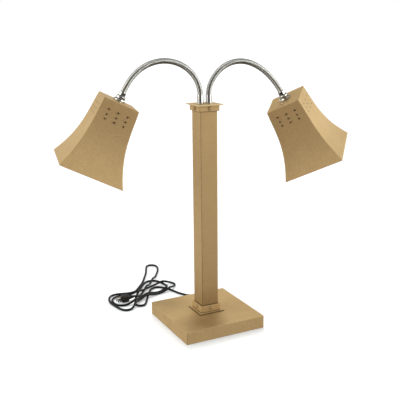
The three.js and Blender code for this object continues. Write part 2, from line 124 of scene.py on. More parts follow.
def rounded(points, n=4, support=0.0, closed=False):
    """A 2-D outline with its corners rounded. A point is (u, v, radius, extra); extra is carried along."""
    pts = [tuple(p) + (0.0,) * (4 - len(p)) for p in points]
    out = []
    count = len(pts)
    for i, (u, v, r, x) in enumerate(pts):
        ends = not closed and i in (0, count - 1)
        a, b = pts[i - 1], pts[(i + 1) % count]
        if ends or r <= 0:
            out.append((u, v, x))
            continue
        p = np.array([u, v], float)
        da, db = np.array(a[:2]) - p, np.array(b[:2]) - p
        la, lb = np.linalg.norm(da), np.linalg.norm(db)
        da, db = da / la, db / lb
        phi = math.acos(max(-1, min(1, float(da @ db))))
        if phi > math.pi - 0.02:
            out.append((u, v, x))
            continue
        t = min(r / math.tan(phi / 2), 0.49 * la, 0.49 * lb)
        rr = t * math.tan(phi / 2)
        s, e = p + da * t, p + db * t
        bis = (da + db) / np.linalg.norm(da + db)
        c = p + bis * (rr / math.sin(phi / 2))
        a0 = math.atan2(*(s - c)[::-1])
        a1 = math.atan2(*(e - c)[::-1])
        d = (a1 - a0 + math.pi) % (2 * math.pi) - math.pi
        for k in range(n + 1):
            w = a0 + d * k / n
            q = c + rr * np.array([math.cos(w), math.sin(w)])
            out.append((float(q[0]), float(q[1]), x + (float(q[0]) - u)))
    if support > 0:
        dense = []
        m = len(out)
        for i in range(m if closed else m - 1):
            a, b = out[i], out[(i + 1) % m]
            dense.append(a)
            length = math.hypot(a[0] - b[0], a[1] - b[1])
            if length > 2.6 * support:
                for f in (support / length, 1 - support / length):
                    dense.append(tuple(a[k] + (b[k] - a[k]) * f for k in range(3)))
        if not closed:
            dense.append(out[-1])
        out = dense
    return out


def stitch(count, rings, closed_rings=False, cap0=True, cap1=True):
    faces = []
    total = rings if closed_rings else rings - 1
    for i in range(total):
        a0, b0 = i * count, ((i + 1) % rings) * count
        for j in range(count):
            k = (j + 1) % count
            faces.append((a0 + j, a0 + k, b0 + k, b0 + j))
    if not closed_rings:
        if cap0:
            faces.append(tuple(range(count))[::-1])
        if cap1:
            faces.append(tuple(range((rings - 1) * count, rings * count)))
    return faces


def lathe(name, profile, seg=64, n=4, support=0.0, closed=False, matrix=None, wave=None):
    """Turned solid about +Z in mm. A profile point is (radius, z, corner radius)."""
    prof = rounded(profile, n, support, closed)
    verts, rings, poles = [], [], {}
    for i, (r, z, _) in enumerate(prof):
        if r < 1e-6:
            poles[i] = len(verts)
            verts.append((0.0, 0.0, z * MM))
            rings.append(None)
            continue
        rings.append(len(verts))
        for j in range(seg):
            t = 2 * math.pi * j / seg
            rr = r + (wave(t, z, r) if wave else 0.0)
            verts.append((rr * math.cos(t) * MM, rr * math.sin(t) * MM, z * MM))
    faces = []
    m = len(prof)
    for i in range(m if closed else m - 1):
        a, b = rings[i], rings[(i + 1) % m]
        for j in range(seg):
            k = (j + 1) % seg
            if a is None and b is None:
                continue
            if a is None:
                faces.append((poles[i], b + k, b + j))
            elif b is None:
                faces.append((a + j, a + k, poles[(i + 1) % m]))
            else:
                faces.append((a + j, a + k, b + k, b + j))
    ob = add_object(name, verts, faces, matrix)
    face_out(ob)
    return mark(ob)


def box_ring(hx, hy, rc, nc=4, support=2.0, mids=1):
    """Points round a rectangle with rounded corners, the same count at every size."""
    rc = max(0.03, min(rc, hx - 0.01, hy - 0.01))
    pts = []
    for q in range(4):
        sx, sy = ((1, 1), (-1, 1), (-1, -1), (1, -1))[q]
        cx, cy = sx * (hx - rc), sy * (hy - rc)
        for i in range(nc + 1):
            t = math.pi / 2 * (q + i / nc)
            pts.append((cx + rc * math.cos(t), cy + rc * math.sin(t)))
        nx, ny = ((-1, 1), (-1, -1), (1, -1), (1, 1))[q]
        ex, ey = nx * (hx - rc), ny * (hy - rc)
        t = math.pi / 2 * (q + 1)
        a = pts[-1]
        b = (ex + rc * math.cos(t), ey + rc * math.sin(t))
        length = math.hypot(b[0] - a[0], b[1] - a[1])
        s = min(support, length * 0.3)
        stops = [s / length] if length > 1e-6 else [0.3]
        stops += [s / length + (1 - 2 * s / length) * (k + 1) / (mids + 1) for k in range(mids)] if length > 1e-6 else [0.5] * mids
        stops += [1 - s / length] if length > 1e-6 else [0.7]
        for f in stops:
            pts.append((a[0] + (b[0] - a[0]) * f, a[1] + (b[1] - a[1]) * f))
    return pts


def box_lathe(name, hx, hy, profile, n=4, support=0.0, closed=False, nc=4, side_support=2.0, mids=1, matrix=None, caps=(True, True), z_points=None, warp=None):
    """A profile swept round a rectangle, in mm. A profile point is (offset from the half sizes, z, corner radius, plan radius)."""
    prof = rounded(profile, n, support, closed)
    if z_points:
        prof = z_points(prof)
    verts = []
    count = None
    for off, z, rc in prof:
        ring = box_ring(hx + off, hy + off, rc, nc, side_support, mids)
        count = len(ring)
        for x, y in ring:
            if warp:
                x, y, zz = warp(x, y, z)
            else:
                zz = z
            verts.append((x * MM, y * MM, zz * MM))
    ob = add_object(name, verts, stitch(count, len(prof), closed, *caps), matrix)
    face_out(ob)
    return ob


def cut(ob, *tools):
    """Takes the tools' solids out of the piece, and removes the tools."""
    for t in tools:
        m = ob.modifiers.new("cut", "BOOLEAN")
        m.operation, m.solver, m.object = "DIFFERENCE", "EXACT", t
    bpy.context.view_layer.update()
    dg = bpy.context.evaluated_depsgraph_get()
    me = bpy.data.meshes.new_from_object(ob.evaluated_get(dg))
    ob.modifiers.clear()
    old = ob.data
    ob.data = me
    bpy.data.meshes.remove(old)
    for t in tools:
        bpy.data.objects.remove(t)
    return ob


def merge(name, *obs):
    """One piece from several, with their meshes side by side."""
    bm = bmesh.new()
    for o in obs:
        bpy.context.view_layer.update()
        me = o.data.copy()
        me.transform(o.matrix_world)
        bm.from_mesh(me)
        bpy.data.meshes.remove(me)
    me = bpy.data.meshes.new(name)
    bm.to_mesh(me)
    bm.free()
    for o in obs:
        bpy.data.objects.remove(o)
    ob = bpy.data.objects.new(name, me)
    scene.collection.objects.link(ob)
    return ob


def rod(r, z0, z1, seg=24, matrix=None):
    verts = [(r * math.cos(2 * math.pi * j / seg) * MM, r * math.sin(2 * math.pi * j / seg) * MM, z * MM) for z in (z0, z1) for j in range(seg)]
    ob = add_object("tool", verts, stitch(seg, 2), matrix)
    face_out(ob)
    return ob


def frames_along(pts):
    """Points with a turning frame that doesn't twist."""
    p = np.array(pts, float)
    t = np.zeros_like(p)
    t[1:-1] = p[2:] - p[:-2]
    t[0], t[-1] = p[1] - p[0], p[-1] - p[-2]
    t /= np.linalg.norm(t, axis=1)[:, None]
    ref = np.array([0, 0, 1.0]) if abs(t[0][2]) < 0.9 else np.array([0, 1.0, 0])
    u = np.zeros_like(p)
    u[0] = ref - (ref @ t[0]) * t[0]
    u[0] /= np.linalg.norm(u[0])
    for i in range(1, len(p)):
        w = u[i - 1] - (u[i - 1] @ t[i]) * t[i]
        u[i] = w / np.linalg.norm(w)
    return p, t, u, np.cross(t, u)


def ride(ob, body, material=None, replaces=()):
    if material is not None:
        ob.data.materials.clear()
        for m in material if isinstance(material, (list, tuple)) else [material]:
            ob.data.materials.append(m)
    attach(ob, body)
    if replaces:
        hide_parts(*replaces)
    return ob


def at(x=0.0, y=0.0, z=0.0):
    return Matrix.Translation((x * MM, y * MM, z * MM))


def basis(x, y, z, origin):
    m = Matrix((Vector(x), Vector(y), Vector(z))).transposed().to_4x4()
    m.translation = Vector(origin) * MM
    return m


# ------------------------------------------------------------------ materials
def lin(r, g, b):
    f = lambda c: c / 255 / 12.92 if c / 255 <= 0.04045 else ((c / 255 + 0.055) / 1.055) ** 2.4
    return (f(r), f(g), f(b), 1.0)


class Shader:
    """A Principled material with short calls for the nodes that feed it."""

    def __init__(self, name, **values):
        self.m = bpy.data.materials.new(name)
        self.m.use_nodes = True
        self.nt = self.m.node_tree
        self.nt.nodes.clear()
        self.out = self.nt.nodes.new("ShaderNodeOutputMaterial")
        self.bsdf = self.nt.nodes.new("ShaderNodeBsdfPrincipled")
        self.nt.links.new(self.bsdf.outputs[0], self.out.inputs[0])
        self.coords = self.nt.nodes.new("ShaderNodeTexCoord").outputs["Object"]
        for k, v in values.items():
            self.bsdf.inputs[k.replace("_", " ")].default_value = v

    def _in(self, socket, value):
        if isinstance(value, bpy.types.NodeSocket):
            self.nt.links.new(value, socket)
        else:
            socket.default_value = value

    def moved(self, scale=(1, 1, 1), shift=(0, 0, 0), vector=None):
        n = self.nt.nodes.new("ShaderNodeMapping")
        self._in(n.inputs["Vector"], vector or self.coords)
        n.inputs["Scale"].default_value = scale
        n.inputs["Location"].default_value = shift
        return n.outputs[0]

    def noise(self, scale, detail=3.0, rough=0.5, vector=None, distortion=0.0):
        n = self.nt.nodes.new("ShaderNodeTexNoise")
        self._in(n.inputs["Vector"], vector or self.coords)
        n.inputs["Scale"].default_value = scale
        n.inputs["Detail"].default_value = detail
        n.inputs["Roughness"].default_value = rough
        n.inputs["Distortion"].default_value = distortion
        return n.outputs[0]

    def cells(self, scale, vector=None, feature="F1", output="Distance"):
        n = self.nt.nodes.new("ShaderNodeTexVoronoi")
        n.feature = feature
        self._in(n.inputs["Vector"], vector or self.coords)
        n.inputs["Scale"].default_value = scale
        return n.outputs[output]

    def ramp(self, fac, *stops):
        n = self.nt.nodes.new("ShaderNodeValToRGB")
        self._in(n.inputs[0], fac)
        e = n.color_ramp.elements
        while len(e) < len(stops):
            e.new(0.5)
        for el, (pos, col) in zip(e, stops):
            el.position = pos
            el.color = col if hasattr(col, "__len__") else (col, col, col, 1.0)
        return n.outputs[0]

    def mix(self, fac, a, b, kind="MIX"):
        n = self.nt.nodes.new("ShaderNodeMix")
        n.data_type, n.blend_type = "RGBA", kind
        self._in(n.inputs[0], fac)
        self._in(n.inputs[6], a)
        self._in(n.inputs[7], b)
        return n.outputs[2]

    def calc(self, op, a, b=0.0, clamp=False):
        n = self.nt.nodes.new("ShaderNodeMath")
        n.operation, n.use_clamp = op, clamp
        self._in(n.inputs[0], a)
        self._in(n.inputs[1], b)
        return n.outputs[0]

    def span(self, value, a, b, lo=0.0, hi=1.0):
        n = self.nt.nodes.new("ShaderNodeMapRange")
        self._in(n.inputs["Value"], value)
        n.inputs["From Min"].default_value, n.inputs["From Max"].default_value = a, b
        n.inputs["To Min"].default_value, n.inputs["To Max"].default_value = lo, hi
        return n.outputs[0]

    def attribute(self, name):
        n = self.nt.nodes.new("ShaderNodeAttribute")
        n.attribute_name = name
        return n.outputs["Fac"]

    def axis(self, i, vector=None):
        n = self.nt.nodes.new("ShaderNodeSeparateXYZ")
        self._in(n.inputs[0], vector or self.coords)
        return n.outputs[i]

    def bump(self, height, distance, strength=1.0, normal=None):
        n = self.nt.nodes.new("ShaderNodeBump")
        self._in(n.inputs["Height"], height)
        n.inputs["Distance"].default_value = distance
        n.inputs["Strength"].default_value = strength
        if normal is not None:
            self._in(n.inputs["Normal"], normal)
        return n.outputs[0]

    def to(self, **sockets):
        for k, v in sockets.items():
            self._in(self.bsdf.inputs[k.replace("_", " ")], v)
        return self.m


def champagne(name, shift, warm=False, foot_shade=False, screw_rings_shade=(), crease_shade_colour=(100, 76, 48), smudged=False, fold_shade=0.0, rim_highlight=0.0):
    """Satin champagne enamel on sheet metal: fine metal flake, faint orange peel, rubbed edges, painted shade in the
    creases, and on request painted shade lines and patches and a painted rim highlight.
    """
    s = Shader(name, Specular_IOR_Level=0.34, Specular_Tint=(1.0, 0.88, 0.60, 1.0))
    v = s.moved(shift=shift)
    cloud = s.noise(7.0, 3.0, 0.55, v)
    patch = s.noise(38.0, 4.0, 0.6, v)
    flake = s.noise(2600.0, 2.0, 0.7, v)
    speck = s.cells(1500.0, v)
    peel = s.noise(420.0, 2.0, 0.5, v)
    body = s.ramp(cloud, (0.30, lin(201, 170, 124)), (0.70, lin(207, 176, 129)))
    body = s.mix(s.span(patch, 0.35, 0.7, 0.0, 0.35), body, lin(190, 157, 110))
    body = s.mix(s.span(flake, 0.45, 0.75, 0.0, 0.40), body, lin(218, 192, 144))
    body = s.mix(s.span(speck, 0.0, 0.26, 0.50, 0.0), body, lin(140, 111, 72))
    mottle = s.noise(330.0, 4.0, 0.8, v)
    body = s.mix(s.span(mottle, 0.34, 0.62, 0.27, 0.0), body, lin(140, 109, 70))
    body = s.mix(s.span(mottle, 0.50, 0.70, 0.0, 0.26), body, lin(224, 198, 148))
    # rubbed edges: the enamel thins, lighter and shinier, broken up by the noise
    edge = s.attribute("edge")
    worn = s.calc("MULTIPLY", edge, s.span(s.noise(210.0, 4.0, 0.65, v), 0.30, 0.62, 0.35, 1.0), True)
    body = s.mix(s.calc("MULTIPLY", worn, 0.35), body, lin(216, 190, 142))
    # painted shade in the inner corners: the crease mark darkens the enamel there
    crease = s.calc("MULTIPLY", s.attribute("crease"), s.span(patch, 0.3, 0.7, 0.6, 0.95), True)
    body = s.mix(crease, body, lin(*crease_shade_colour))
    for z0 in screw_rings_shade:   # a painted shade ring round each screw head
        x, y, z = (s.axis(i) for i in range(3))
        side = s.calc("MINIMUM", s.calc("ABSOLUTE", x), s.calc("ABSOLUTE", y))
        up = s.calc("SUBTRACT", z, z0)
        r = s.calc("SQRT", s.calc("ADD", s.calc("MULTIPLY", side, side), s.calc("MULTIPLY", up, up)))
        r = s.calc("ADD", r, s.span(s.noise(260.0, 3.0, 0.6, v), 0.3, 0.7, -0.0004, 0.0004))
        body = s.mix(s.span(r, 0.0058, 0.0067, 0.80, 0.0), body, lin(92, 69, 43))
    if fold_shade:   # a painted dark line down each corner fold, standing in for the dark reflection along the fold
        near = s.calc("MINIMUM", s.calc("ABSOLUTE", s.axis(0)), s.calc("ABSOLUTE", s.axis(1)))
        near = s.calc("ADD", near, s.span(s.noise(180.0, 3.0, 0.6, v), 0.3, 0.7, -0.0002, 0.0002))
        wall = s.calc("MAXIMUM", s.calc("ABSOLUTE", s.axis(0)), s.calc("ABSOLUTE", s.axis(1)))
        near = s.calc("MULTIPLY", s.span(near, fold_shade - 0.0014, fold_shade - 0.0004, 0.0, 0.50), s.span(wall, fold_shade + 0.0003, fold_shade + 0.0008, 1.0, 0.0))
        near = s.calc("MULTIPLY", near, s.calc("MULTIPLY", s.span(s.axis(2), 0.0424, 0.0428), s.span(s.axis(2), 0.6572, 0.6576, 1.0, 0.0)))
        body = s.mix(near, body, lin(104, 79, 50))
    if rim_highlight:   # a painted highlight: the rim of the cap plate's top is made paler
        r = s.calc("MAXIMUM", s.calc("ABSOLUTE", s.axis(0)), s.calc("ABSOLUTE", s.axis(1)))
        rim_highlight_mask = s.calc("MULTIPLY", s.span(r, 0.0355, 0.0392), s.span(s.axis(2), rim_highlight, rim_highlight + 0.0004))
        body = s.mix(s.calc("MULTIPLY", rim_highlight_mask, s.span(patch, 0.3, 0.7, 0.45, 0.75)), body, lin(244, 222, 172))
    if warm:   # enamel a little tanned by the lamp near the top of the inside
        z = s.axis(2)
        body = s.mix(s.span(z, -0.10, -0.01, 0.0, 0.16), body, lin(150, 116, 74))
    if foot_shade:   # painted shade: the enamel darkens towards the foot of the post, standing in for the dark base reflected there
        z = s.calc("ADD", s.axis(2), s.span(s.noise(24.0, 4.0, 0.6, v), 0.3, 0.7, -0.006, 0.006))
        body = s.mix(s.span(z, 0.062, 0.130, 0.50, 0.12), body, lin(116, 88, 58))
        body = s.mix(s.span(z, 0.130, 0.280, 0.14, 0.0), body, lin(116, 88, 58))
        # painted shade lines where the post enters the lower collar and the cap
        line = s.calc("ADD", s.axis(2), s.span(s.noise(300.0, 3.0, 0.6, v), 0.3, 0.7, -0.0005, 0.0005))
        body = s.mix(s.span(line, 0.0628, 0.0652, 0.80, 0.0), body, lin(84, 63, 40))
        body = s.mix(s.span(line, 0.6390, 0.6412, 0.0, 0.75), body, lin(84, 63, 40))
    if smudged:   # painted shade on the base top: darker towards the near left, where the post's shadow and reflection fall, and a painted shade line round the collar plate
        x, y, z = (s.axis(i) for i in range(3))
        drift = s.span(s.noise(14.0, 5.0, 0.65, v), 0.3, 0.7, -0.012, 0.012)
        top = s.span(z, 0.036, 0.039)
        for cx, cy, near, far, amount in ((-0.060, -0.088, 0.018, 0.088, 0.52), (-0.100, 0.110, 0.020, 0.095, 0.36)):
            dx, dy = s.calc("SUBTRACT", x, cx), s.calc("SUBTRACT", y, cy)
            r = s.calc("ADD", s.calc("SQRT", s.calc("ADD", s.calc("MULTIPLY", dx, dx), s.calc("MULTIPLY", dy, dy))), drift)
            body = s.mix(s.calc("MULTIPLY", top, s.span(r, near, far, amount, 0.0)), body, lin(116, 88, 58))
        # a painted shade line round the foot of the collar plate
        r = s.calc("MAXIMUM", s.calc("ABSOLUTE", x), s.calc("ABSOLUTE", y))
        r = s.calc("ADD", r, s.span(s.noise(200.0, 3.0, 0.6, v), 0.3, 0.7, -0.0005, 0.0005))
        body = s.mix(s.span(r, 0.0402, 0.0425, 0.75, 0.0), body, lin(84, 63, 40))
    smear = s.noise(16.0, 5.0, 0.62, s.moved((1.0, 1.0, 0.35), shift))
    rough = s.calc("ADD", s.span(smear, 0.3, 0.7, 0.42, 0.52), s.span(flake, 0.3, 0.7, -0.04, 0.05))
    rough = s.calc("SUBTRACT", rough, s.calc("MULTIPLY", worn, 0.10), True)
    metal = s.calc("ADD", s.span(flake, 0.4, 0.75, 0.26, 0.46), s.calc("MULTIPLY", worn, 0.15), True)
    b = s.bump(peel, 0.00006, 0.5)
    b = s.bump(flake, 0.00002, 0.35, b)
    b = s.bump(cloud, 0.0012, 0.10, b)
    return s.to(Base_Color=body, Roughness=rough, Metallic=metal, Normal=b)


def chrome(name, shift=(0, 0, 0), light=(214, 214, 213), dull=(196, 196, 194)):
    s = Shader(name, Metallic=1.0)
    v = s.moved(shift=shift)
    haze = s.noise(45.0, 4.0, 0.6, v)
    fine = s.noise(900.0, 2.0, 0.5, v)
    # the grooves are painted darker and made rougher: painted shade in the recesses
    groove_shade = s.calc("MULTIPLY", s.attribute("crease"), s.span(s.noise(120.0, 4.0, 0.6, v), 0.3, 0.6, 0.6, 1.0), True)
    col = s.mix(s.span(haze, 0.3, 0.75), lin(*light), lin(*dull))
    col = s.mix(s.calc("MULTIPLY", groove_shade, 0.9), col, lin(40, 38, 36))
    rough = s.calc("ADD", s.span(haze, 0.3, 0.75, 0.07, 0.15), s.calc("MULTIPLY", groove_shade, 0.25), True)
    b = s.bump(fine, 0.00002, 0.25)
    b = s.bump(haze, 0.0003, 0.12, b)
    return s.to(Base_Color=col, Roughness=rough, Normal=b)


def plastic(name, dark, light, grain=900.0, depth=0.00005, rough=(0.42, 0.58), scuff=0.3, coat=0.0):
    s = Shader(name, Specular_IOR_Level=0.42, Coat_Weight=coat, Coat_Roughness=0.25)
    tone = s.noise(30.0, 4.0, 0.6)
    fine = s.noise(grain, 3.0, 0.6)
    scratch = s.noise(140.0, 5.0, 0.75, s.moved((1.0, 0.25, 1.0)), 0.4)
    col = s.mix(s.span(tone, 0.3, 0.7), dark, light)
    worn = s.calc("MULTIPLY", s.attribute("edge"), s.span(scratch, 0.35, 0.65), True)
    col = s.mix(s.calc("MULTIPLY", worn, scuff), col, lin(92, 92, 94))
    dust = s.span(s.noise(70.0, 6.0, 0.7), 0.52, 0.80, 0.0, 0.16)
    col = s.mix(dust, col, lin(120, 116, 108))
    r = s.calc("ADD", s.span(tone, 0.3, 0.7, rough[0], rough[1]), s.span(fine, 0.3, 0.7, -0.05, 0.05), True)
    b = s.bump(fine, depth, 0.55)
    b = s.bump(scratch, 0.00004, 0.15, b)
    return s.to(Base_Color=col, Roughness=r, Normal=b)


def jacket(name):
    """Flexible PVC cord jacket: satin, with the faint lay of the cores and a little dust."""
    s = Shader(name, Specular_IOR_Level=0.35)
    tone = s.noise(26.0, 4.0, 0.6)
    fine = s.noise(1500.0, 3.0, 0.6)
    lay = s.noise(260.0, 2.0, 0.5, None, 0.6)
    col = s.mix(s.span(tone, 0.3, 0.7), lin(12, 12, 13), lin(21, 21, 22))
    col = s.mix(s.span(s.noise(90.0, 6.0, 0.7), 0.5, 0.8, 0.0, 0.12), col, lin(70, 68, 64))
    rough = s.calc("ADD", s.span(tone, 0.3, 0.7, 0.40, 0.54), s.span(fine, 0.3, 0.7, -0.05, 0.06), True)
    b = s.bump(lay, 0.00012, 0.35)
    b = s.bump(fine, 0.00003, 0.5, b)
    return s.to(Base_Color=col, Roughness=rough, Normal=b)


def pad_rubber(name):
    s = Shader(name, Specular_IOR_Level=0.3)
    tone = s.noise(18.0, 5.0, 0.65)
    grit = s.noise(1100.0, 3.0, 0.7)
    dots = s.cells(330.0)
    col = s.mix(s.span(tone, 0.3, 0.7), lin(24, 24, 24), lin(38, 37, 36))
    col = s.mix(s.span(s.noise(55.0, 6.0, 0.7), 0.5, 0.8, 0.0, 0.25), col, lin(104, 100, 92))
    rough = s.calc("ADD", s.span(grit, 0.3, 0.7, 0.74, 0.92), 0.0, True)
    b = s.bump(s.span(dots, 0.0, 0.5, 1.0, 0.0), 0.0005, 0.45)
    b = s.bump(grit, 0.00006, 0.6, b)
    return s.to(Base_Color=col, Roughness=rough, Normal=b)


def zinc(name, tone=(150, 152, 155)):
    """Bright zinc plate: soft spangle, fine rolling lines and dulled edges."""
    s = Shader(name, Metallic=1.0)
    spangle = s.cells(130.0, None, "F1", "Color")
    grey = s.span(s.axis(0, spangle), 0.0, 1.0, 0.0, 1.0)
    line = s.noise(60.0, 5.0, 0.7, s.moved((1.0, 14.0, 1.0)))
    r0, g0, b0 = tone
    col = s.mix(grey, lin(r0, g0, b0), lin(r0 + 22, g0 + 22, b0 + 20))
    col = s.mix(s.calc("MULTIPLY", s.attribute("edge"), 0.4), col, lin(205, 206, 208))
    col = s.mix(s.span(s.noise(35.0, 6.0, 0.7), 0.55, 0.85, 0.0, 0.3), col, lin(118, 112, 100))
    rough = s.calc("ADD", s.span(grey, 0.0, 1.0, 0.30, 0.42), s.span(line, 0.3, 0.7, -0.05, 0.07), True)
    return s.to(Base_Color=col, Roughness=rough, Normal=s.bump(line, 0.00004, 0.35))


def cast_iron(name):
    s = Shader(name, Metallic=0.55, Specular_IOR_Level=0.4)
    lump = s.noise(90.0, 5.0, 0.65)
    grit = s.cells(700.0)
    col = s.mix(s.span(lump, 0.3, 0.7), lin(46, 46, 47), lin(70, 69, 67))
    col = s.mix(s.span(s.noise(30.0, 6.0, 0.7), 0.55, 0.8, 0.0, 0.5), col, lin(98, 66, 44))
    b = s.bump(lump, 0.0009, 0.5)
    b = s.bump(grit, 0.0003, 0.5, b)
    return s.to(Base_Color=col, Roughness=s.span(lump, 0.3, 0.7, 0.62, 0.82), Normal=b)


def porcelain(name):
    s = Shader(name, Specular_IOR_Level=0.55, Coat_Weight=0.7, Coat_Roughness=0.08)
    tone = s.noise(60.0, 4.0, 0.6)
    speck = s.cells(420.0)
    col = s.mix(s.span(tone, 0.3, 0.7), lin(236, 232, 220), lin(224, 217, 202))
    col = s.mix(s.span(speck, 0.0, 0.09, 0.45, 0.0), col, lin(150, 132, 106))
    # painted shade in the creases
    col = s.mix(s.calc("MULTIPLY", s.attribute("crease"), 0.6), col, lin(150, 136, 112))
    b = s.bump(tone, 0.0003, 0.2)
    return s.to(Base_Color=col, Roughness=s.span(s.noise(140.0), 0.3, 0.7, 0.22, 0.36), Normal=b)


def brass(name, a=(196, 168, 96), c=(168, 136, 70)):
    s = Shader(name, Metallic=1.0)
    tone = s.noise(120.0, 5.0, 0.65)
    line = s.noise(300.0, 4.0, 0.7, s.moved((1.0, 1.0, 12.0)))
    col = s.mix(s.span(tone, 0.3, 0.7), lin(*a), lin(*c))
    col = s.mix(s.calc("MULTIPLY", s.attribute("edge"), 0.5), col, lin(232, 212, 156))
    rough = s.calc("ADD", s.span(tone, 0.3, 0.7, 0.20, 0.34), s.span(line, 0.3, 0.7, -0.04, 0.06), True)
    return s.to(Base_Color=col, Roughness=rough, Normal=s.bump(line, 0.00003, 0.4))


def lamp_glass(name):
    """Reflector lamp: silvered inside from the neck to the rim, frosted across the face."""
    s = Shader(name, Coat_Weight=1.0, Coat_Roughness=0.05, Specular_IOR_Level=0.5)
    z = s.axis(2)
    edge = s.noise(60.0, 3.0, 0.6)
    z2 = s.calc("ADD", z, s.span(edge, 0.3, 0.7, -0.0008, 0.0008))
    silver = s.span(z2, -0.1735, -0.1705)
    swirl = s.noise(38.0, 4.0, 0.6, s.moved((1.0, 1.0, 0.3)))
    mirror = s.mix(s.span(swirl, 0.3, 0.7), lin(214, 214, 212), lin(190, 190, 188))
    frost = s.mix(s.span(s.noise(90.0, 4.0, 0.6), 0.3, 0.7), lin(238, 234, 224), lin(226, 221, 208))
    glow = s.span(z2, -0.190, -0.176, 0.35, 0.0)
    frost = s.mix(glow, frost, lin(250, 244, 228))
    col = s.mix(silver, frost, mirror)
    grain = s.noise(1600.0, 2.0, 0.6)
    rough = s.mix(silver, s.ramp(grain, (0.3, 0.40), (0.7, 0.52)), s.ramp(swirl, (0.3, 0.10), (0.7, 0.20)))
    b = s.bump(grain, 0.00003, 0.3)
    b = s.bump(swirl, 0.0003, 0.15, b)
    return s.to(Base_Color=col, Metallic=s.calc("MULTIPLY", silver, 0.95), Roughness=rough, Normal=b)


def marking(name):
    s = Shader(name, Specular_IOR_Level=0.4)
    n = s.noise(900.0, 4.0, 0.7)
    col = s.mix(s.span(n, 0.35, 0.7), lin(226, 226, 222), lin(196, 195, 190))
    return s.to(Base_Color=col, Roughness=s.span(n, 0.3, 0.7, 0.45, 0.6), Normal=s.bump(n, 0.00003, 0.4))


PAINT = champagne("champagne_enamel", (0.0, 0.0, 0.0))
PAINT_BASE = champagne("champagne_base", (0.05, 0.31, 0.17), smudged=True)
PAINT_POST = champagne("champagne_post", (0.21, 0.43, 0.07), False, True, fold_shade=0.027)
PAINT_COLLAR = champagne("champagne_collar", (0.57, 0.19, 0.33), False, False, (0.0534, 0.6494), (74, 55, 35), fold_shade=0.0318, rim_highlight=0.6580)
PAINT_SHADE = {"left": champagne("champagne_shade_left", (0.37, 0.11, 0.23), True),
               "right": champagne("champagne_shade_right", (1.13, 0.71, 0.49), True)}
CHROME = chrome("polished_chrome")
CHROME_HEAD = {"left": chrome("chrome_head_left", (0.3, 0.1, 0.2)), "right": chrome("chrome_head_right", (0.8, 0.5, 0.1))}
MOULDED = plastic("moulded_black", lin(21, 21, 22), lin(31, 31, 32), 700.0, 0.00007, (0.46, 0.60), 0.45)
ROCKER = plastic("switch_black", lin(14, 14, 15), lin(22, 22, 23), 1300.0, 0.00002, (0.24, 0.34), 0.25, 0.2)
GRIP = plastic("plug_black", lin(19, 19, 20), lin(29, 29, 30), 800.0, 0.00006, (0.44, 0.58), 0.4)
JACKET = jacket("cord_jacket")
SLEEVE = plastic("lead_sleeve", lin(34, 34, 35), lin(46, 46, 47), 1500.0, 0.00003, (0.40, 0.52), 0.1)
RUBBER = pad_rubber("pad_rubber")
ZINC = zinc("zinc_steel")
PLATE = zinc("plate_steel", (134, 135, 137))
IRON = cast_iron("ballast_iron")
PORCELAIN = porcelain("porcelain")
NYLON = plastic("terminal_nylon", lin(216, 210, 194), lin(204, 197, 178), 900.0, 0.00004, (0.40, 0.52), 0.05)
BRASS = brass("prong_brass", (186, 183, 174), (150, 146, 136))
SCREW = chrome("bracket_screw_finish", (0.5, 0.2, 0.9), (252, 242, 204), (240, 226, 182))
CAP = brass("bulb_cap_brass", (206, 190, 140), (180, 160, 108))
GLASS = lamp_glass("lamp_glass")
MARK = marking("switch_marking")


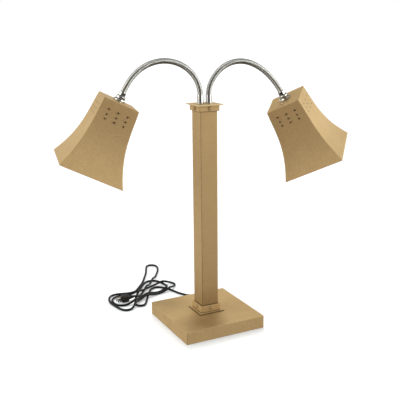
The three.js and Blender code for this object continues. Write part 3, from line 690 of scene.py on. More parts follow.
# ------------------------------------------------------------------ mains cord and plug
# Centreline from the end of the strain relief to the plug, in mm.
CORD = [
    (40, 163, 14.5), (40, 166, 14.5), (40, 169.5, 14.2), (39.1, 182.3, 9.5), (36.1, 196.4, 5.3), (29.9, 209.9, 3.7),
    (18.4, 232.1, 3.7), (10.9, 255.9, 3.7), (4, 280, 3.7), (-13.5, 310.1, 3.7), (-25.7, 318.4, 3.7), (-35.6, 318.8, 3.7),
    (-44.7, 315, 3.7), (-56, 305.2, 3.7), (-70.3, 284.8, 3.7), (-82.8, 263.2, 3.7), (-94.4, 241.1, 3.7), (-106.3, 219.4, 3.7),
    (-119.5, 198.7, 3.7), (-127.3, 193.3, 3.7), (-136.8, 194, 3.7), (-144.5, 199.6, 3.7), (-147.3, 208.6, 3.7), (-145.4, 218.3, 3.7),
    (-136.4, 241.4, 3.7), (-125.6, 263.8, 3.7), (-113, 285.5, 3.7), (-100.7, 307.3, 3.7), (-86.2, 327.8, 3.7), (-70.8, 347.6, 3.7),
    (-55.7, 367.3, 3.7), (-45.2, 377.8, 3.7), (-36.6, 382.8, 3.7), (-27.1, 385.5, 3.7), (-22.1, 385.3, 3.7), (-13, 381.5, 3.7),
    (-5.5, 375, 3.7), (-0.4, 366.5, 3.7), (6.5, 342.4, 3.7), (7, 322.4, 4.5), (5.4, 307.7, 7.5), (2.4, 298.4, 10.1),
    (-3.4, 290.2, 11), (-11.2, 284.2, 8.7), (-24.7, 278.5, 5.1), (-44.4, 274.2, 3.8), (-78, 266, 11), (-87.9, 263.8, 10.7),
    (-102, 259, 7.8), (-114.8, 251.2, 6.8), (-130.5, 238.9, 9.8), (-139.2, 234, 11.2), (-152.7, 227.6, 8.4), (-166.7, 223.2, 5),
    (-176.6, 221.9, 3.9), (-186.5, 223.4, 3.7), (-195.2, 228.1, 3.7), (-201.7, 235.5, 3.7), (-205, 244.9, 3.7), (-205.9, 264.8, 3.7),
    (-204.4, 274.6, 3.7), (-200.5, 283.8, 3.7), (-194.3, 291.6, 3.7), (-186.4, 297.6, 3.7), (-177.1, 301.4, 3.7), (-162.2, 302.9, 3.7),
    (-142.5, 299.6, 4), (-122.9, 296.4, 7.5), (-113.2, 297.2, 10.2), (-103.5, 300, 11.1), (-94.5, 304.1, 8.9), (-78.7, 315.8, 4.2),
    (-56.6, 327.9, 3.7), (-33.8, 338.3, 3.8), (-19.2, 341.6, 5.7), (5.3, 343.2, 11.3), (20.1, 341.1, 8.3), (29.3, 338, 5.8),
    (36.8, 331.6, 4.2), (39.8, 322.2, 3.7), (38.1, 312.4, 3.7), (33, 303.8, 4), (18.5, 290.2, 7.4), (6.6, 281.4, 11),
    (-2.1, 276.2, 10.4), (-20.2, 268.7, 5.5), (-44.6, 262.5, 3.7), (-69.2, 257.3, 6.9), (-88.4, 252.5, 11.2), (-102.7, 248.3, 8.4),
    (-115.6, 241, 5.8), (-127.7, 231.9, 6.1), (-147.2, 209.7, 11.4), (-159.8, 194.5, 6.8), (-171.1, 184.8, 4.2), (-180.3, 180.9, 3.7),
    (-190.1, 182, 3.7), (-197.9, 188, 3.7), (-202.6, 196.8, 3.7), (-208.8, 221, 3.7), (-212.9, 245.8, 3.7), (-213.8, 265.7, 3.7),
    (-209.4, 290.3, 3.7), (-203.5, 304, 3.7), (-197.6, 312.1, 3.7), (-189.8, 318.3, 3.7), (-180.4, 321.5, 3.7), (-170.5, 321.9, 3.7),
    (-131.8, 312.6, 3.7), (-121.9, 312.5, 3.7), (-112.3, 315, 3.7), (-103.8, 320, 3.7), (-87.4, 338.6, 3.7), (-72.2, 358.3, 3.7),
    (-56.9, 378.2, 3.7), (-43.7, 399.5, 3.7), (-31.3, 421.2, 3.7), (-18.9, 443, 3.7), (-7.1, 465, 3.7), (3.3, 487.7, 3.7),
    (13.3, 510.5, 3.7), (22.1, 528.4, 3.7), (28.7, 535.7, 3.7), (38, 538.8, 3.7), (47.4, 536.2, 3.7), (53.8, 528.7, 3.7),
    (56.1, 519.1, 3.7), (55.1, 504.3, 3.7), (47, 480.7, 3.7), (35.6, 458.4, 3.7), (22.5, 437.1, 3.7), (9.2, 415.8, 3.8),
    (-14.2, 383.9, 11.1), (-29.5, 364.2, 6.5), (-42.4, 348.6, 6), (-58.9, 330, 11), (-65.1, 322, 11.5), (-81.4, 303.4, 6),
    (-94.7, 288.6, 3.7), (-106.6, 272.6, 4.8), (-113.4, 265.8, 7), (-126.1, 259.6, 11.2), (-132, 259.2, 12.5), (-136, 259, 12.5),
]
CORD_D = 7.2


def smooth_line(knots, step):
    """A centripetal Catmull-Rom line through the knots."""
    p = [np.array(k, float) for k in knots]
    p = [2 * p[0] - p[1]] + p + [2 * p[-1] - p[-2]]
    out = []
    for i in range(1, len(p) - 2):
        a, b, c, d = p[i - 1:i + 3]
        t0 = 0.0
        t1 = t0 + np.linalg.norm(b - a) ** 0.5
        t2 = t1 + np.linalg.norm(c - b) ** 0.5
        t3 = t2 + np.linalg.norm(d - c) ** 0.5
        n = max(1, int(round(np.linalg.norm(c - b) / step)))
        for k in range(n):
            t = t1 + (t2 - t1) * k / n
            a1 = (t1 - t) / (t1 - t0) * a + (t - t0) / (t1 - t0) * b
            a2 = (t2 - t) / (t2 - t1) * b + (t - t1) / (t2 - t1) * c
            a3 = (t3 - t) / (t3 - t2) * c + (t - t2) / (t3 - t2) * d
            b1 = (t2 - t) / (t2 - t0) * a1 + (t - t0) / (t2 - t0) * a2
            b2 = (t3 - t) / (t3 - t1) * a2 + (t - t1) / (t3 - t1) * a3
            out.append((t2 - t) / (t2 - t1) * b1 + (t - t1) / (t2 - t1) * b2)
    out.append(p[-2])
    q = np.array(out)
    q[:, 2] = np.maximum(q[:, 2], 3.66)
    return q


def tube(name, line, radius, sides):
    """A solid tube along a line in mm."""
    p, _, u, v = frames_along(line)
    ang = 2 * math.pi * np.arange(sides) / sides
    verts = (p[:, None] + radius * (np.cos(ang)[None, :, None] * u[:, None] + np.sin(ang)[None, :, None] * v[:, None])).reshape(-1, 3) * MM
    ob = add_object(name, verts, stitch(sides, len(p)))
    face_out(ob)
    return mark(ob, 60)


cord_line = smooth_line(CORD, 3.6)
cord = ride(tube("mains_cord", cord_line, CORD_D / 2, 16), "base", JACKET, ["power_cord"])

forward = Vector((-0.998, -0.06, 0.0)).normalized()
plug_frame = basis(-Vector((0, 0, 1)).cross(forward), (0, 0, 1), forward, CORD[-1])
PLUG_FACE = 42.0


def plug_moulding():
    """Moulded plug: ribbed sleeve that opens into a rounded, ridged grip."""
    seg = 72
    rings = []

    def section(z, w, h, power):
        pts = []
        for j in range(seg):
            t = 2 * math.pi * (j + 0.5) / seg
            c, s = math.cos(t), math.sin(t)
            k = (abs(c) ** power + abs(s) ** power) ** (-1 / power)
            pts.append((w / 2 * c * k * MM, h / 2 * s * k * MM, z * MM))
        rings.append(pts)

    section(1.9, 7.3, 7.3, 2)
    section(0.4, 7.5, 7.5, 2)
    section(0.3, 8.6, 8.6, 2)
    section(0.8, 9.4, 9.4, 2)
    z = 1.2
    while z < 14.6:     # bend-relief ribs
        d = 9.4 + 4.6 * (z - 1.2) / 13.4
        for dz, dd in ((0.0, 0.0), (1.15, 0.0), (1.4, -0.5), (1.55, -1.5), (2.15, -1.5), (2.3, -0.5)):
            section(z + dz, d + dd, d + dd, 2)
        z += 2.45
    section(16.2, 14.4, 14.4, 2)
    for f in (0.0, 0.12, 0.28, 0.46, 0.64, 0.8, 0.92, 1.0):
        w = f * f * (3 - 2 * f)
        section(16.6 + 5.0 * f, 14.8 + (25.0 - 14.8) * w, 14.8 + (23.6 - 14.8) * w, 2 + 2 * f)
    z = 22.4
    for k in range(4):  # finger ridges
        for dz, dd in ((0.0, 0.0), (1.3, 0.0), (1.6, -0.35), (1.85, -1.1), (2.4, -1.1), (2.65, -0.35)):
            section(z + dz, 25.6 + dd, 24.2 + dd, 4)
        z += 2.9
    section(34.4, 25.8, 24.4, 4)
    section(38.5, 25.9, 24.5, 4)
    section(40.2, 25.9, 24.5, 4)
    for t in (20, 40, 60, 80, 90):
        a = math.radians(t)
        section(40.2 + 1.6 * math.sin(a), 25.9 - 3.2 * (1 - math.cos(a)), 24.5 - 3.2 * (1 - math.cos(a)), 4)
    for f in (0.86, 0.7):
        section(PLUG_FACE - 0.2, 22.7 * f, 21.3 * f, 4 - (1 - f))
    verts = [p for r in rings for p in r]
    ob = add_object("plug_moulding", verts, stitch(seg, len(rings)), plug_frame)
    face_out(ob)
    return mark(ob, 42)


def plug_pins():
    """Two flat blades with their detent holes and a round-nosed earth pin."""
    obs = []
    for px in (-6.35, 6.35):
        pts = [(-3.17, 0), (3.17, 0), (3.17, 14.9), (2.3, 17.1), (1.4, 17.9), (-1.4, 17.9), (-2.3, 17.1), (-3.17, 14.9)]
        verts = [((px + s * 0.75) * MM, (-3.8 + a) * MM, (PLUG_FACE - 0.6 + b) * MM) for s in (-1, 1) for a, b in pts]
        blade = add_object("blade", verts, stitch(8, 2), plug_frame)
        face_out(blade)
        hole = rod(1.6, -3, 3, 20, plug_frame @ Matrix.Translation((px * MM, -3.8 * MM, (PLUG_FACE + 11.5) * MM)) @ Matrix.Rotation(math.pi / 2, 4, "Y"))
        cut(blade, hole)
        bm = bmesh.new()
        bm.from_mesh(blade.data)
        es = [e for e in bm.edges if len(e.link_faces) == 2 and e.calc_face_angle(0) > 1.0]
        bmesh.ops.bevel(bm, geom=es, offset=0.12 * MM, segments=2, profile=0.5, affect="EDGES", clamp_overlap=True)
        bm.to_mesh(blade.data)
        bm.free()
        obs.append(blade)
    obs.append(lathe("earth", [(0, PLUG_FACE - 0.6), (2.38, PLUG_FACE - 0.6), (2.38, PLUG_FACE + 17.6, 2.0), (0.9, PLUG_FACE + 20.2, 0.8), (0, PLUG_FACE + 20.3)], 32, matrix=plug_frame @ at(0, 6.8, 0)))
    ob = merge("plug_pins", *obs)
    return mark(ob)


plug = ride(plug_moulding(), "base", GRIP, ["plug_body"])
pins = ride(plug_pins(), "base", BRASS, ["plug_prongs"])

# ------------------------------------------------------------------ base
cover = box_lathe("base_cover_shell", 0, 0, [(113, 37.4), (125, 37.4, 0.8, 0.6), (125, 1.0, 0.25, 0.6), (127, 1.0, 0.35, 2.2), (127, 39.4, 1.9, 2.2), (113, 39.4)], n=5, support=2.2, nc=6, side_support=2.4, mids=2)
cut(cover, rod(22, 30, 50, 64), rod(6.6, 110, 140, 48, at(40, 0, 14.5) @ Matrix.Rotation(-math.pi / 2, 4, "X")))
slotter = box_lathe("tool", 9.7, 6.7, [(0, 118), (0, 136)], nc=3, matrix=at(-44, 0, 21) @ Matrix.Rotation(-math.pi / 2, 4, "X"))
cut(cover, slotter)
mark(cover)
for label in ("edge", "crease"):      # the openings in the rear wall get no wear or painted shade marks: their marks would spread over the whole wall
    for i, v in enumerate(cover.data.vertices):
        x, y, z = (c / MM for c in v.co)
        if y > 120 and (abs(x + 44) < 14 and abs(z - 21) < 13 or abs(x - 40) < 9 and abs(z - 14.5) < 9):
            cover.data.attributes[label].data[i].value = 0.0
ride(cover, "base", PAINT_BASE, ["base_cover"])

pad = box_lathe("rubber_foot_pad", 0, 0, [(104, 0.9), (105, 0.0, 0.3), (112, 0.0, 0.3), (112.6, 0.7, 0.2), (114.4, 0.7, 0.2), (115, 0.0, 0.3), (122.6, 0.0, 0.6, 6), (123, 2.0, 0.5, 6), (104, 2.0)], n=3, support=1.2, nc=8, side_support=2.0, mids=1)
mark(pad)
ride(pad, "base", RUBBER, ["non_slip_pad"])


def refined(node, name, width, segments=2, material=None, body="base", dissolve=True):
    """A CAD solid with its flat faces made whole again and its edges softened."""
    bm = bmesh.new()
    bm.from_mesh(nodes[node].data)
    bmesh.ops.remove_doubles(bm, verts=bm.verts, dist=2e-6)
    if dissolve:
        bmesh.ops.dissolve_limit(bm, angle_limit=math.radians(1.5), verts=bm.verts, edges=bm.edges)
    es = [e for e in bm.edges if len(e.link_faces) == 2 and e.calc_face_angle(0) > math.radians(32)]
    bmesh.ops.bevel(bm, geom=es, offset=width * MM, segments=segments, profile=0.5, affect="EDGES", clamp_overlap=True)
    me = bpy.data.meshes.new(name)
    bm.to_mesh(me)
    bm.free()
    for a in list(me.attributes):
        if a.name == "custom_normal":
            me.attributes.remove(a)
    ob = bpy.data.objects.new(name, me)
    scene.collection.objects.link(ob)
    mark(ob)
    return ride(ob, body, material, [node])


refined("base_bottom_plate", "bottom_plate", 0.4, 2, PLATE)
refined("ballast_block", "iron_ballast", 1.2, 3, IRON)
refined("terminal_block", "screw_terminal_block", 0.6, 2, NYLON)

# ------------------------------------------------------------------ post and collars
post = box_lathe("post_tube", 0, 0, [(27, 39.75, 0.3, 2.2), (27, 657.3, 0.3, 2.2), (25, 657.3, 0.2, 0.8), (25, 39.75, 0.2, 0.8)], n=2, support=2.5, closed=True, nc=6, side_support=2.2, mids=1)
mark(post)
ride(post, "base", PAINT_POST, ["post"])


def bead(x, y, z):
    """The sleeve meets the plate in a slightly uneven weld."""
    r = max(abs(x), abs(y))
    k = math.exp(-((r - 32.6) / 1.1) ** 2)
    a = math.atan2(y, x)
    n = 0.5 * math.sin(23 * a + 0.7) + 0.3 * math.sin(41 * a + 2.1) + 0.35 * math.sin(9 * a + 4.0)
    return x, y, z + (0.28 * k * n if 42.0 < z < 44.6 or 655.4 < z < 658.2 else 0.0)


lower = box_lathe("lower_collar_plate", 0, 0, [(27.5, 40.0, 0.2, 0.6), (27.5, 61.9, 0.35, 0.6), (31.8, 62.0, 1.25, 2.2), (31.8, 42.5, 0.9, 2.2), (39.7, 42.5, 0.8, 1.4), (39.7, 39.7, 0.35, 1.4), (27.5, 39.7, 0.15, 0.6)][::-1],
                  n=5, support=1.0, closed=True, nc=6, side_support=1.6, mids=18, warp=bead)
mark(lower)
rim_shade = lower.data.attributes["crease"]      # painted shade along the foot of the plate and along the weld line
for i, v in enumerate(lower.data.vertices):
    r = max(abs(v.co.x), abs(v.co.y)) / MM
    if r > 39.3 and v.co.z < 42.2 * MM or 31.5 < r < 32.9 and 42.2 * MM < v.co.z < 43.6 * MM:
        rim_shade.data[i].value = 1.0
ride(lower, "base", PAINT_COLLAR, ["lower_collar"])
upper = box_lathe("upper_cap_plate", 0, 0, [(22.0, 658.0), (27.5, 658.0, 0.3, 0.6), (27.5, 641.7, 0.3, 0.6), (31.8, 641.7, 1.25, 2.2), (31.8, 658.0, 0.7, 2.2), (39.7, 658.0, 0.35, 1.4), (39.7, 661.0, 0.85, 1.4), (22.0, 661.0)],
                  n=5, support=1.0, nc=6, side_support=1.6, mids=18, warp=bead)
cut(upper, rod(5.4, 640, 680, 40, at(-13.5)), rod(5.4, 640, 680, 40, at(13.5)))
mark(upper)
# painted shade along the weld line and round the foot of the cap's sleeve
for i, v in enumerate(upper.data.vertices):
    r, z = max(abs(v.co.x), abs(v.co.y)) / MM, v.co.z / MM
    if 31.5 < r < 33.6 and 656.9 < z < 658.3 or r > 27.2 and z < 642.1:
        upper.data.attributes["crease"].data[i].value = 1.0
ride(upper, "base", PAINT_COLLAR, ["upper_collar"])

head = lathe("clamp_screw", [(0, -0.6), (4.7, -0.6), (4.7, 0.25, 0.1), (5.4, 0.35, 0.25), (5.4, 1.15, 0.5), (4.35, 2.45, 1.6), (2.4, 3.2, 1.6), (0, 3.3)], 40, n=4)
socket = add_object("tool", [(2.0 * math.cos(math.pi / 3 * j) * MM, 2.0 * math.sin(math.pi / 3 * j) * MM, z * MM) for z in (2.5, 6.0) for j in range(6)], stitch(6, 2))
face_out(socket)
cut(head, socket)
mark(head, 34)
screw_mesh = head.data
for i, v in enumerate(screw_mesh.vertices):      # painted shade round the foot of the head
    if v.co.z < 1.0 * MM and v.co.xy.length > 4.0 * MM:
        screw_mesh.attributes["crease"].data[i].value = 1.0
bpy.data.objects.remove(head)
screw_mesh.materials.append(PAINT_COLLAR)
TURNS = {"front": (0, -1, 0), "rear": (0, 1, 0), "right": (1, 0, 0), "left": (-1, 0, 0)}
for where, z, spin in (("lower", 53.4, 0.2), ("upper", 649.4, 0.55)):
    for face, d in TURNS.items():
        ob = bpy.data.objects.new(f"{where}_{face}_clamp_screw", screw_mesh)
        scene.collection.objects.link(ob)
        q = Vector(d).to_track_quat("Z", "Y").to_matrix().to_4x4()
        ob.matrix_world = Matrix.Translation(Vector(d) * 31.8 * MM + Vector((0, 0, z * MM))) @ q @ Matrix.Rotation(spin + d[0] + 2 * d[1], 4, "Z")
        ride(ob, "base", None, [f"{where}_collar_screw_{face}"])

# ------------------------------------------------------------------ cord entry and switch
rearward = at(40, 0, 14.5) @ Matrix.Rotation(-math.pi / 2, 4, "X")
relief = [(0, 121.0), (8.5, 121.0, 0.5), (8.5, 124.5, 0.4), (6.3, 124.5), (6.3, 127.2), (9.0, 127.2, 0.3), (9.0, 130.1, 0.8), (7.3, 130.6, 0.4)]
y, r = 132.2, 6.9
while y < 158.5:
    relief += [(r, y, 0.25), (r - 0.12, y + 1.7, 0.25), (r - 1.15, y + 1.95, 0.15), (r - 1.2, y + 2.75, 0.15)]
    y += 3.0
    r -= 0.235
relief += [(r + 0.02, y, 0.3), (4.7, 164.6, 0.4), (3.72, 164.6, 0.15), (3.72, 162.75), (0, 162.75)]
ride(lathe("strain_relief_sleeve", relief, 48, n=3, matrix=rearward), "base", MOULDED, ["cord_strain_relief"])

switch_at = basis((-1, 0, 0), (0, 0, 1), (0, 1, 0), (-44, 0, 21))
bezel = box_lathe("switch_bezel", 11, 8, [(-1.6, 105.6), (-1.6, 127.3, 0, 0.5), (0, 127.3, 0.2, 1.6), (0, 129.5, 0.9, 1.6), (-3.15, 129.3, 0.35, 0.5), (-3.15, 122.6, 0, 0.4), (-4.0, 122.6)], n=4, support=0.6, nc=5, side_support=0.8, mids=1, matrix=switch_at)
mark(bezel)
ride(bezel, "base", MOULDED, ["switch_housing"])

tilt = Matrix.Translation((-44 * MM, 128.6 * MM, 21 * MM)) @ Matrix.Rotation(math.radians(9), 4, "Z")
outline = rounded([(-7.2, -1, 0.5), (-4.5, -3.8, 0.5), (4.5, -3.8, 0.5), (7.2, -1, 0.5), (7.2, 1.9, 0.7), (3.6, 1.15, 4), (0, 0.95, 3), (-3.6, 1.15, 4), (-7.2, 1.9, 0.7)], 4, 0.5, True)
verts, rings = [], 0
for z, inset in ((-4.2, 0.45), (-4.05, 0.15), (-3.7, 0.0), (3.7, 0.0), (4.05, 0.15), (4.2, 0.45)):
    rings += 1
    for x, y, _ in outline:
        k = 1 - inset / 7.2
        verts.append((x * k * MM, (y * k) * MM, z * MM))
rocker = add_object("power_rocker", verts, stitch(len(outline), rings), tilt)
face_out(rocker)
mark(rocker, 40)
ride(rocker, "rocker", ROCKER, ["switch_rocker"])


def on_rocker(x):
    """Height of the rocker's face, 0.03 mm proud."""
    a = abs(x)
    return (0.95 + (a / 7.2) ** 1.6 * 0.95) + 0.03


def plate_mark(name, outer, inner=None):
    """A thin flat mark that follows the rocker's face."""
    verts, faces = [], []
    loops = [outer] + ([inner] if inner else [])
    n = len(outer)
    for lift in (-0.12, 0.05):
        for lp in loops:
            verts += [(x * MM, (on_rocker(x) + lift) * MM, z * MM) for x, z in lp]
    if inner:
        for j in range(n):
            k = (j + 1) % n
            o0, i0, o1, i1 = 0, n, 2 * n, 3 * n
            faces += [(o0 + j, o0 + k, i0 + k, i0 + j), (o1 + j, o1 + k, i1 + k, i1 + j), (o0 + j, o0 + k, o1 + k, o1 + j), (i0 + j, i0 + k, i1 + k, i1 + j)]
    else:
        faces = [tuple(range(n)), tuple(range(n, 2 * n))] + [(j, (j + 1) % n, n + (j + 1) % n, n + j) for j in range(n)]
    ob = add_object(name, verts, faces, tilt)
    face_out(ob)
    return mark(ob)


ring = lambda r, cx: [(cx + r * math.cos(2 * math.pi * j / 32), r * math.sin(2 * math.pi * j / 32)) for j in range(32)]
off_mark = plate_mark("rocker_off_mark", ring(1.5, -4.3), ring(1.1, -4.3))
bar = [(4.1, -1.4), (4.5, -1.4), (4.5, 1.4), (4.1, 1.4)]
on_mark = plate_mark("rocker_on_mark", bar)
for ob in (off_mark, on_mark):
    ride(ob, "rocker", MARK)

# ------------------------------------------------------------------ arms
ARMS = {
    "left": dict(side=-1, top=(-240.0, 41.7, 676.9), x=(0.884, -0.139, -0.447), z=(0.429, -0.140, 0.892),
                 neck=[(-13.5, 0, 687), (-13.5, 0, 719), (-33.8, 3.1, 806), (-156.4, 27.6, 818.7), (-204, 29.9, 751.9), (-228, 37.7, 701.9)]),
    "right": dict(side=1, top=(241.3, -45.0, 663.7), x=(0.567, -0.707, 0.423), z=(-0.508, 0.104, 0.855),
                  neck=[(13.5, 0, 687), (13.5, 0, 722.9), (38.4, -5.6, 779.4), (124.1, -21.6, 840.6), (205.6, -37.7, 723.8), (227.1, -42, 687.6)]),
}
SEGMENTS, PITCH, AROUND = 6, 3.2, 30
SHADE_TOP, SHADE_MOUTH, SHADE_H, SHADE_T = 102.3, 185.0, 208.4, 1.6


def bezier(control, t):
    p = [np.array(c, float) for c in control]
    while len(p) > 1:
        p = [a + (b - a) * t for a, b in zip(p, p[1:])]
    return p[0]


def ribbed(name, place, s0, s1):
    """A length of wound steel conduit: rounded turns with a narrow helical groove between them."""
    step = PITCH / 10
    n = max(2, int(round((s1 - s0) / step)))
    ss = np.linspace(s0, s1, n + 1)
    pts, uu, vv = place(ss)
    ang = 2 * math.pi * np.arange(AROUND) / AROUND
    phase = np.mod(ss[:, None] / PITCH - np.arange(AROUND)[None] / AROUND, 1.0)
    groove = np.abs(2 * phase - 1)
    rad = 8.0 - 0.92 * groove ** 2.6
    v = pts[:, None] + rad[..., None] * (np.cos(ang)[None, :, None] * uu[:, None] + np.sin(ang)[None, :, None] * vv[:, None])
    ob = add_object(name, v.reshape(-1, 3) * MM, stitch(AROUND, n + 1))
    me = ob.data
    # the groove bottoms carry the crease mark, which paints shade into them
    for label, values in (("edge", np.zeros(groove.size)), ("crease", np.clip((groove.ravel() - 0.55) / 0.40, 0, 1) ** 1.2)):
        me.attributes.new(label, "FLOAT", "POINT").data.foreach_set("value", values.astype(np.float32))
    me.shade_smooth()
    return ob


def width(s):
    return SHADE_TOP + (SHADE_MOUTH - SHADE_TOP) * s + s * (1 - s) * (-42.57 - 138.0 * s + 75.86 * s * s)


for side, arm in ARMS.items():
    nx = 13.5 * arm["side"]
    shade_body, tip = f"{side}_shade", f"{side}_neck_6"

    # fitting on the cap, its mouth open round the neck
    ferrule = [(4.6, 655.0), (4.6, 661.05), (10.5, 661.05, 0.25), (10.5, 663.5, 0.7), (9.35, 664.3, 0.5), (9.25, 685.2, 0.5), (8.95, 686.0, 0.35), (8.25, 685.9, 0.3), (8.25, 681.0, 0.2), (4.0, 681.0), (4.0, 655.0)]
    ride(lathe(f"{side}_cap_ferrule", ferrule, 72, n=5, support=0.5, closed=True, matrix=at(nx)), "base", CHROME, [f"{side}_neck_ferrule"])
    refined(f"{side}_neck_locknut", f"{side}_cap_locknut", 0.4, 2, ZINC)

    # neck
    dense = np.array([bezier(arm["neck"], i / 400) for i in range(401)])
    along = np.r_[0, np.cumsum(np.linalg.norm(np.diff(dense, axis=0), axis=1))]
    total = float(along[-1])
    full_s = np.linspace(-4.5, total + 2.8, 1200)
    t_start = (dense[1] - dense[0]) / np.linalg.norm(dense[1] - dense[0])
    t_end = (dense[-1] - dense[-2]) / np.linalg.norm(dense[-1] - dense[-2])
    full = np.stack([np.interp(np.clip(full_s, 0, total), along, dense[:, k]) for k in range(3)], 1)
    full += np.minimum(full_s, 0)[:, None] * t_start + np.maximum(full_s - total, 0)[:, None] * t_end
    _, _, fu, fv = frames_along(full)

    def place(ss):
        get = lambda arr: np.stack([np.interp(ss, full_s, arr[:, k]) for k in range(3)], 1)
        return get(full), get(fu), get(fv)

    for k in range(SEGMENTS):
        s0 = -4.5 if k == 0 else total * (k - 0.5) / SEGMENTS
        s1 = total * (k + 0.5) / SEGMENTS
        piece = ribbed(f"{side}_gooseneck_{k + 1}", place, s0, s1)
        piece.data.materials.append(CHROME)
        ends, _, _ = place(np.array([-1.0 if k == 0 else s0, s1]))
        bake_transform(piece, "base" if k == 0 else f"{side}_neck_{k}", f"{side}_neck_{k + 1}", start=tuple(ends[0] * MM), end=tuple(ends[1] * MM))
        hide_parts(f"{side}_neck_segment_{k + 1}")
    ride(ribbed(f"{side}_gooseneck_end", place, total * (SEGMENTS - 0.5) / SEGMENTS, total + 2.8), tip, CHROME)

    # end fitting and the cup it turns in
    z = Vector(arm["z"]).normalized()
    x = Vector(arm["x"])
    x = (x - x.dot(z) * z).normalized()
    head_at = basis(x, z.cross(x), z, arm["top"])
    stem = [(0, -10.6), (4.9, -10.6, 0.4), (4.9, 8.1), (12.2, 8.1, 0.3), (13.4, 9.0, 1.2), (13.5, 11.9, 2.0), (13.4, 14.6, 1.4), (11.2, 16.2, 0.8), (9.0, 16.6, 0.6), (9.6, 18.0, 0.8), (9.7, 26.6, 0.6), (9.3, 27.9, 0.35), (8.25, 27.8, 0.3), (8.25, 24.2, 0.2), (0, 24.2)]
    ride(lathe(f"{side}_stem_fitting", stem, 72, n=5, support=0.5, matrix=head_at), tip, CHROME_HEAD[side], [f"{side}_swivel_stem"])
    cup = [(5.3, 0.05), (16.4, 0.05, 0.2), (17.0, 1.0, 0.6), (17.0, 4.6, 1.6), (15.6, 7.2, 1.6), (13.4, 7.9, 0.5), (5.3, 7.9)]
    ride(lathe(f"{side}_stem_cup", cup, 72, n=5, support=0.5, closed=True, matrix=head_at), shade_body, CHROME_HEAD[side], [f"{side}_swivel_cup"])
    refined(f"{side}_stem_nut", f"{side}_stem_locknut", 0.4, 2, ZINC, tip)

    # shade: folded sheet flaring from a flat top to the mouth
    outer = [(40.0, 0.0), (SHADE_TOP / 2, 0.0, 1.5, 1.9)]
    stations = 46
    for i in range(1, stations + 1):
        s = i / stations
        outer.append((width(s) / 2, -SHADE_H * s, 0.45 if i == stations else 0.0, 1.9))
    inner = []
    for i in range(stations, 0, -1):
        s = i / stations
        inner.append((width(s) / 2 - SHADE_T, -SHADE_H * s, 0.45 if i == stations else 0.0, 0.7))
    inner += [(SHADE_TOP / 2 - SHADE_T, -SHADE_T, 0.8, 0.7), (40.0, -SHADE_T)]
    shade = box_lathe(f"{side}_flared_shade", 0, 0, outer + inner, n=4, nc=5, side_support=1.6, mids=9, matrix=head_at)
    tools = [rod(5.4, -5, 5, 48, head_at), rod(1.8, -5, 5, 24, head_at @ at(-2.5, -26.6))]
    for row in (25.5, 39.7, 53.0):
        for vx in (-28, 0, 28):
            tools.append(rod(2.15, -80, 80, 24, head_at @ at(vx, 0, -row) @ Matrix.Rotation(math.pi / 2, 4, "X")))
            tools.append(rod(2.15, -80, 80, 24, head_at @ at(0, vx, -row) @ Matrix.Rotation(math.pi / 2, 4, "Y")))
    cut(shade, *tools)
    mark(shade, 30)
    ride(shade, shade_body, PAINT_SHADE[side], [f"{side}_shade"])

    bolt = lathe(f"{side}_hanger_screw", [(0, -6.4), (1.6, -6.4, 0.2), (1.6, 0.0), (3.2, 0.0, 0.2), (3.2, 0.7, 0.4), (2.5, 1.7, 0.9), (1.3, 2.25, 0.9), (0, 2.35)], 40, matrix=head_at @ at(-2.5, -26.6))
    cross = [rod(0.34, 1.5, 4.0, 4, head_at @ at(-2.5, -26.6))]
    for turn in (0.3, 0.3 + math.pi / 2):
        c, s_ = math.cos(turn), math.sin(turn)
        pts = [(1.35, 0.28), (-1.35, 0.28), (-1.35, -0.28), (1.35, -0.28)]
        cross.append(add_object("tool", [((a * c - b * s_) * MM, (a * s_ + b * c) * MM, zz * MM) for zz in (1.6, 4.0) for a, b in pts], stitch(4, 2), head_at @ at(-2.5, -26.6)))
        face_out(cross[-1])
    cut(bolt, *cross)
    mark(bolt, 32)
    ride(bolt, shade_body, SCREW, [f"{side}_bracket_screw"])

    # socket hanger, socket and lamp
    refined(f"{side}_socket_bracket", f"{side}_socket_hanger", 0.35, 2, ZINC, shade_body)
    socket = [(0, -14.0), (12.6, -14.0, 1.2), (15.0, -16.2, 1.0), (15.0, -36.6, 0.8), (17.4, -37.4, 0.6), (20.5, -38.6, 1.4), (20.5, -44.0, 0.4), (19.9, -44.8, 0.4), (19.9, -46.0, 0.4), (20.5, -46.8, 0.4), (20.5, -54.0, 1.2), (19.2, -56.0, 0.8), (14.3, -56.0, 0.6), (14.3, -24.0), (0, -24.0)]
    ride(lathe(f"{side}_porcelain_socket", socket, 80, n=4, support=0.8, matrix=head_at), shade_body, PORCELAIN, [f"{side}_lamp_socket"])
    cap_line = [(0, -26.0), (4.6, -26.2, 0.6), (5.4, -28.6, 0.6), (12.4, -30.4, 0.8)]
    zz = -31.6
    while zz > -50.5:     # rolled thread
        cap_line += [(12.95, zz, 0.6), (12.2, zz - 1.8, 0.6)]
        zz -= 3.6
    cap_line += [(12.9, -52.6, 0.3), (0, -52.6)]
    ride(lathe(f"{side}_lamp_cap", cap_line, 64, n=4, matrix=head_at), shade_body, CAP, [f"{side}_bulb_cap"])
    env = smooth_line([(12.2, 0, 53), (14, 0, 65), (18.5, 0, 82), (31, 0, 108), (46, 0, 128), (58, 0, 149), (63, 0, 166), (61.8, 0, 173), (57.5, 0, 178.6), (49, 0, 182.8), (38, 0, 185.9), (20, 0, 188.0), (0, 0, 188.6)], 2.4)
    skin = [(max(0.0, float(a)), -float(c), 0.0) for a, _, c in env]
    skin[-1] = (0.0, -188.6, 0.0)
    core = [(0.0, -187.2, 0.0)] + [(max(0.2, a - 1.3 * min(1.0, a / 30)), b * 0.997 if b < -100 else b, 0.0) for a, b, _ in reversed(skin[:-1])]
    core[-1] = (10.8, -53.0, 0.0)
    ride(lathe(f"{side}_reflector_lamp", skin + core, 96, matrix=head_at, closed=True), shade_body, GLASS, [f"{side}_bulb_glass"])

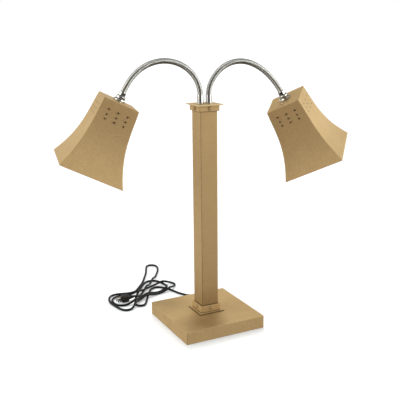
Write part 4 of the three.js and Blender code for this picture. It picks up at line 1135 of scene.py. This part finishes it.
# ------------------------------------------------------------------ inside leads
for n in ("left_lamp_lead", "right_lamp_lead", "supply_lead", "switch_lead"):
    nodes[n].data.materials.clear()
    nodes[n].data.materials.append(SLEEVE)

# ------------------------------------------------------------------ studio
def floor_material():
    s = Shader("studio_floor", Specular_IOR_Level=0.2)
    n = s.noise(3.0, 4.0, 0.5)
    fine = s.noise(160.0, 3.0, 0.6)
    col = s.mix(s.span(n, 0.3, 0.7), lin(222, 224, 231), lin(226, 228, 235))
    s.bsdf.inputs["Emission Color"].default_value = (0.94, 0.97, 1.0, 1.0)
    s.bsdf.inputs["Emission Strength"].default_value = 0.36
    return s.to(Base_Color=col, Roughness=s.span(fine, 0.3, 0.7, 0.78, 0.9))


bpy.ops.mesh.primitive_grid_add(x_subdivisions=8, y_subdivisions=8, size=40.0, location=(0, 0, -0.0003))
floor = bpy.context.object
floor.name = "studio_floor"
floor.data.materials.append(floor_material())
floor.visible_diffuse = False     # the dim lower half of the studio lights the undersides instead
floor.visible_glossy = False

world = bpy.data.worlds.new("studio")
scene.world = world
world.use_nodes = True
wt = world.node_tree
wt.nodes.clear()
w_out = wt.nodes.new("ShaderNodeOutputWorld")
w_bg = wt.nodes.new("ShaderNodeBackground")
w_tc = wt.nodes.new("ShaderNodeTexCoord")
w_sep = wt.nodes.new("ShaderNodeSeparateXYZ")
wt.links.new(w_tc.outputs["Generated"], w_sep.inputs[0])
w_map = wt.nodes.new("ShaderNodeMapRange")
w_map.inputs["From Min"].default_value, w_map.inputs["From Max"].default_value = -1.0, 1.0
wt.links.new(w_sep.outputs[2], w_map.inputs["Value"])


def w_ramp(*stops):
    n = wt.nodes.new("ShaderNodeValToRGB")
    wt.links.new(w_map.outputs[0], n.inputs[0])
    e = n.color_ramp.elements
    while len(e) < len(stops):
        e.new(0.5)
    for el, (pos, val) in zip(e, stops):
        el.position, el.color = pos, (val, val, val, 1)
    return n.outputs[0]


def w_mix(fac, a, b):
    n = wt.nodes.new("ShaderNodeMix")
    n.data_type = "RGBA"
    for i, v in ((0, fac), (6, a), (7, b)):
        if isinstance(v, bpy.types.NodeSocket):
            wt.links.new(v, n.inputs[i])
        else:
            n.inputs[i].default_value = v
    return n.outputs[2]


def w_calc(op, a, b):
    n = wt.nodes.new("ShaderNodeMath")
    n.operation = op
    for i, v in enumerate((a, b)):
        if isinstance(v, bpy.types.NodeSocket):
            wt.links.new(v, n.inputs[i])
        else:
            n.inputs[i].default_value = v
    return n.outputs[0]


# what shiny parts see: white walls and floor, dimmer towards the near side of the room
toward_near = w_calc("ADD", w_calc("MULTIPLY", w_sep.outputs[0], -0.4496), w_calc("MULTIPLY", w_sep.outputs[1], -0.8933))
near = wt.nodes.new("ShaderNodeMapRange")
near.interpolation_type = "SMOOTHSTEP"
wt.links.new(toward_near, near.inputs["Value"])
near.inputs["From Min"].default_value, near.inputs["From Max"].default_value = 0.20, 0.75
walls = w_ramp((0.0, 0.06), (0.28, 0.10), (0.36, 0.95), (0.62, 0.95), (0.70, 0.24), (0.84, 0.16), (0.94, 0.42), (1.0, 0.45))


def w_tint(colour):
    n = wt.nodes.new("ShaderNodeMix")
    n.data_type, n.blend_type = "RGBA", "MULTIPLY"
    n.inputs[0].default_value = 1.0
    wt.links.new(colour, n.inputs[6])
    n.inputs[7].default_value = (1.0, 0.975, 0.92, 1.0)
    return n.outputs[2]


near_side = w_ramp((0.0, 0.03), (0.32, 0.03), (0.38, 0.12), (0.50, 0.16), (0.60, 0.10), (0.82, 0.14), (0.94, 0.42), (1.0, 0.45))
mirror_room = w_mix(near.outputs[0], w_tint(walls), near_side)
soft_room = w_mix(w_ramp((0.49, 0.0), (0.51, 1.0)), (0.79, 0.735, 0.66, 1), (0.14, 0.135, 0.12, 1))
w_lp = wt.nodes.new("ShaderNodeLightPath")
room = w_mix(w_lp.outputs["Is Glossy Ray"], soft_room, mirror_room)
room = w_mix(w_lp.outputs["Is Camera Ray"], room, (1.0, 1.0, 1.0, 1))
wt.links.new(room, w_bg.inputs[0])
w_bg.inputs[1].default_value = 1.0
wt.links.new(w_bg.outputs[0], w_out.inputs[0])


def sun(name, toward, strength, spread, colour=(1.0, 0.995, 0.93)):
    """A large soft source far away in the given direction."""
    d = bpy.data.lights.new(name, "SUN")
    d.energy, d.angle, d.color = strength, math.radians(spread), colour
    ob = bpy.data.objects.new(name, d)
    scene.collection.objects.link(ob)
    ob.location = Vector(toward) * 3
    ob.rotation_mode = "QUATERNION"
    ob.rotation_quaternion = Vector(toward).to_track_quat("Z", "Y")
    return ob


sun("soft_left_back", (-0.80, 0.24, 0.50), 0.92, 48, (0.95, 1.0, 0.91))
sun("soft_left_low", (-0.95, -0.10, 0.16), 0.92, 48)
sun("soft_right_front", (0.60, -0.65, 0.17), 1.46, 48)
sun("soft_right", (0.90, -0.10, 0.28), 1.00, 48, (0.95, 1.0, 0.93))
overhead = sun("soft_overhead", (0.28, 0.60, 0.75), 2.15, 44)
top_left = sun("soft_top_left", (-0.50, 0.34, 0.80), 0.50, 60)
overhead.visible_glossy = top_left.visible_glossy = False   # a broad panel: it lights the tops without a hard glint
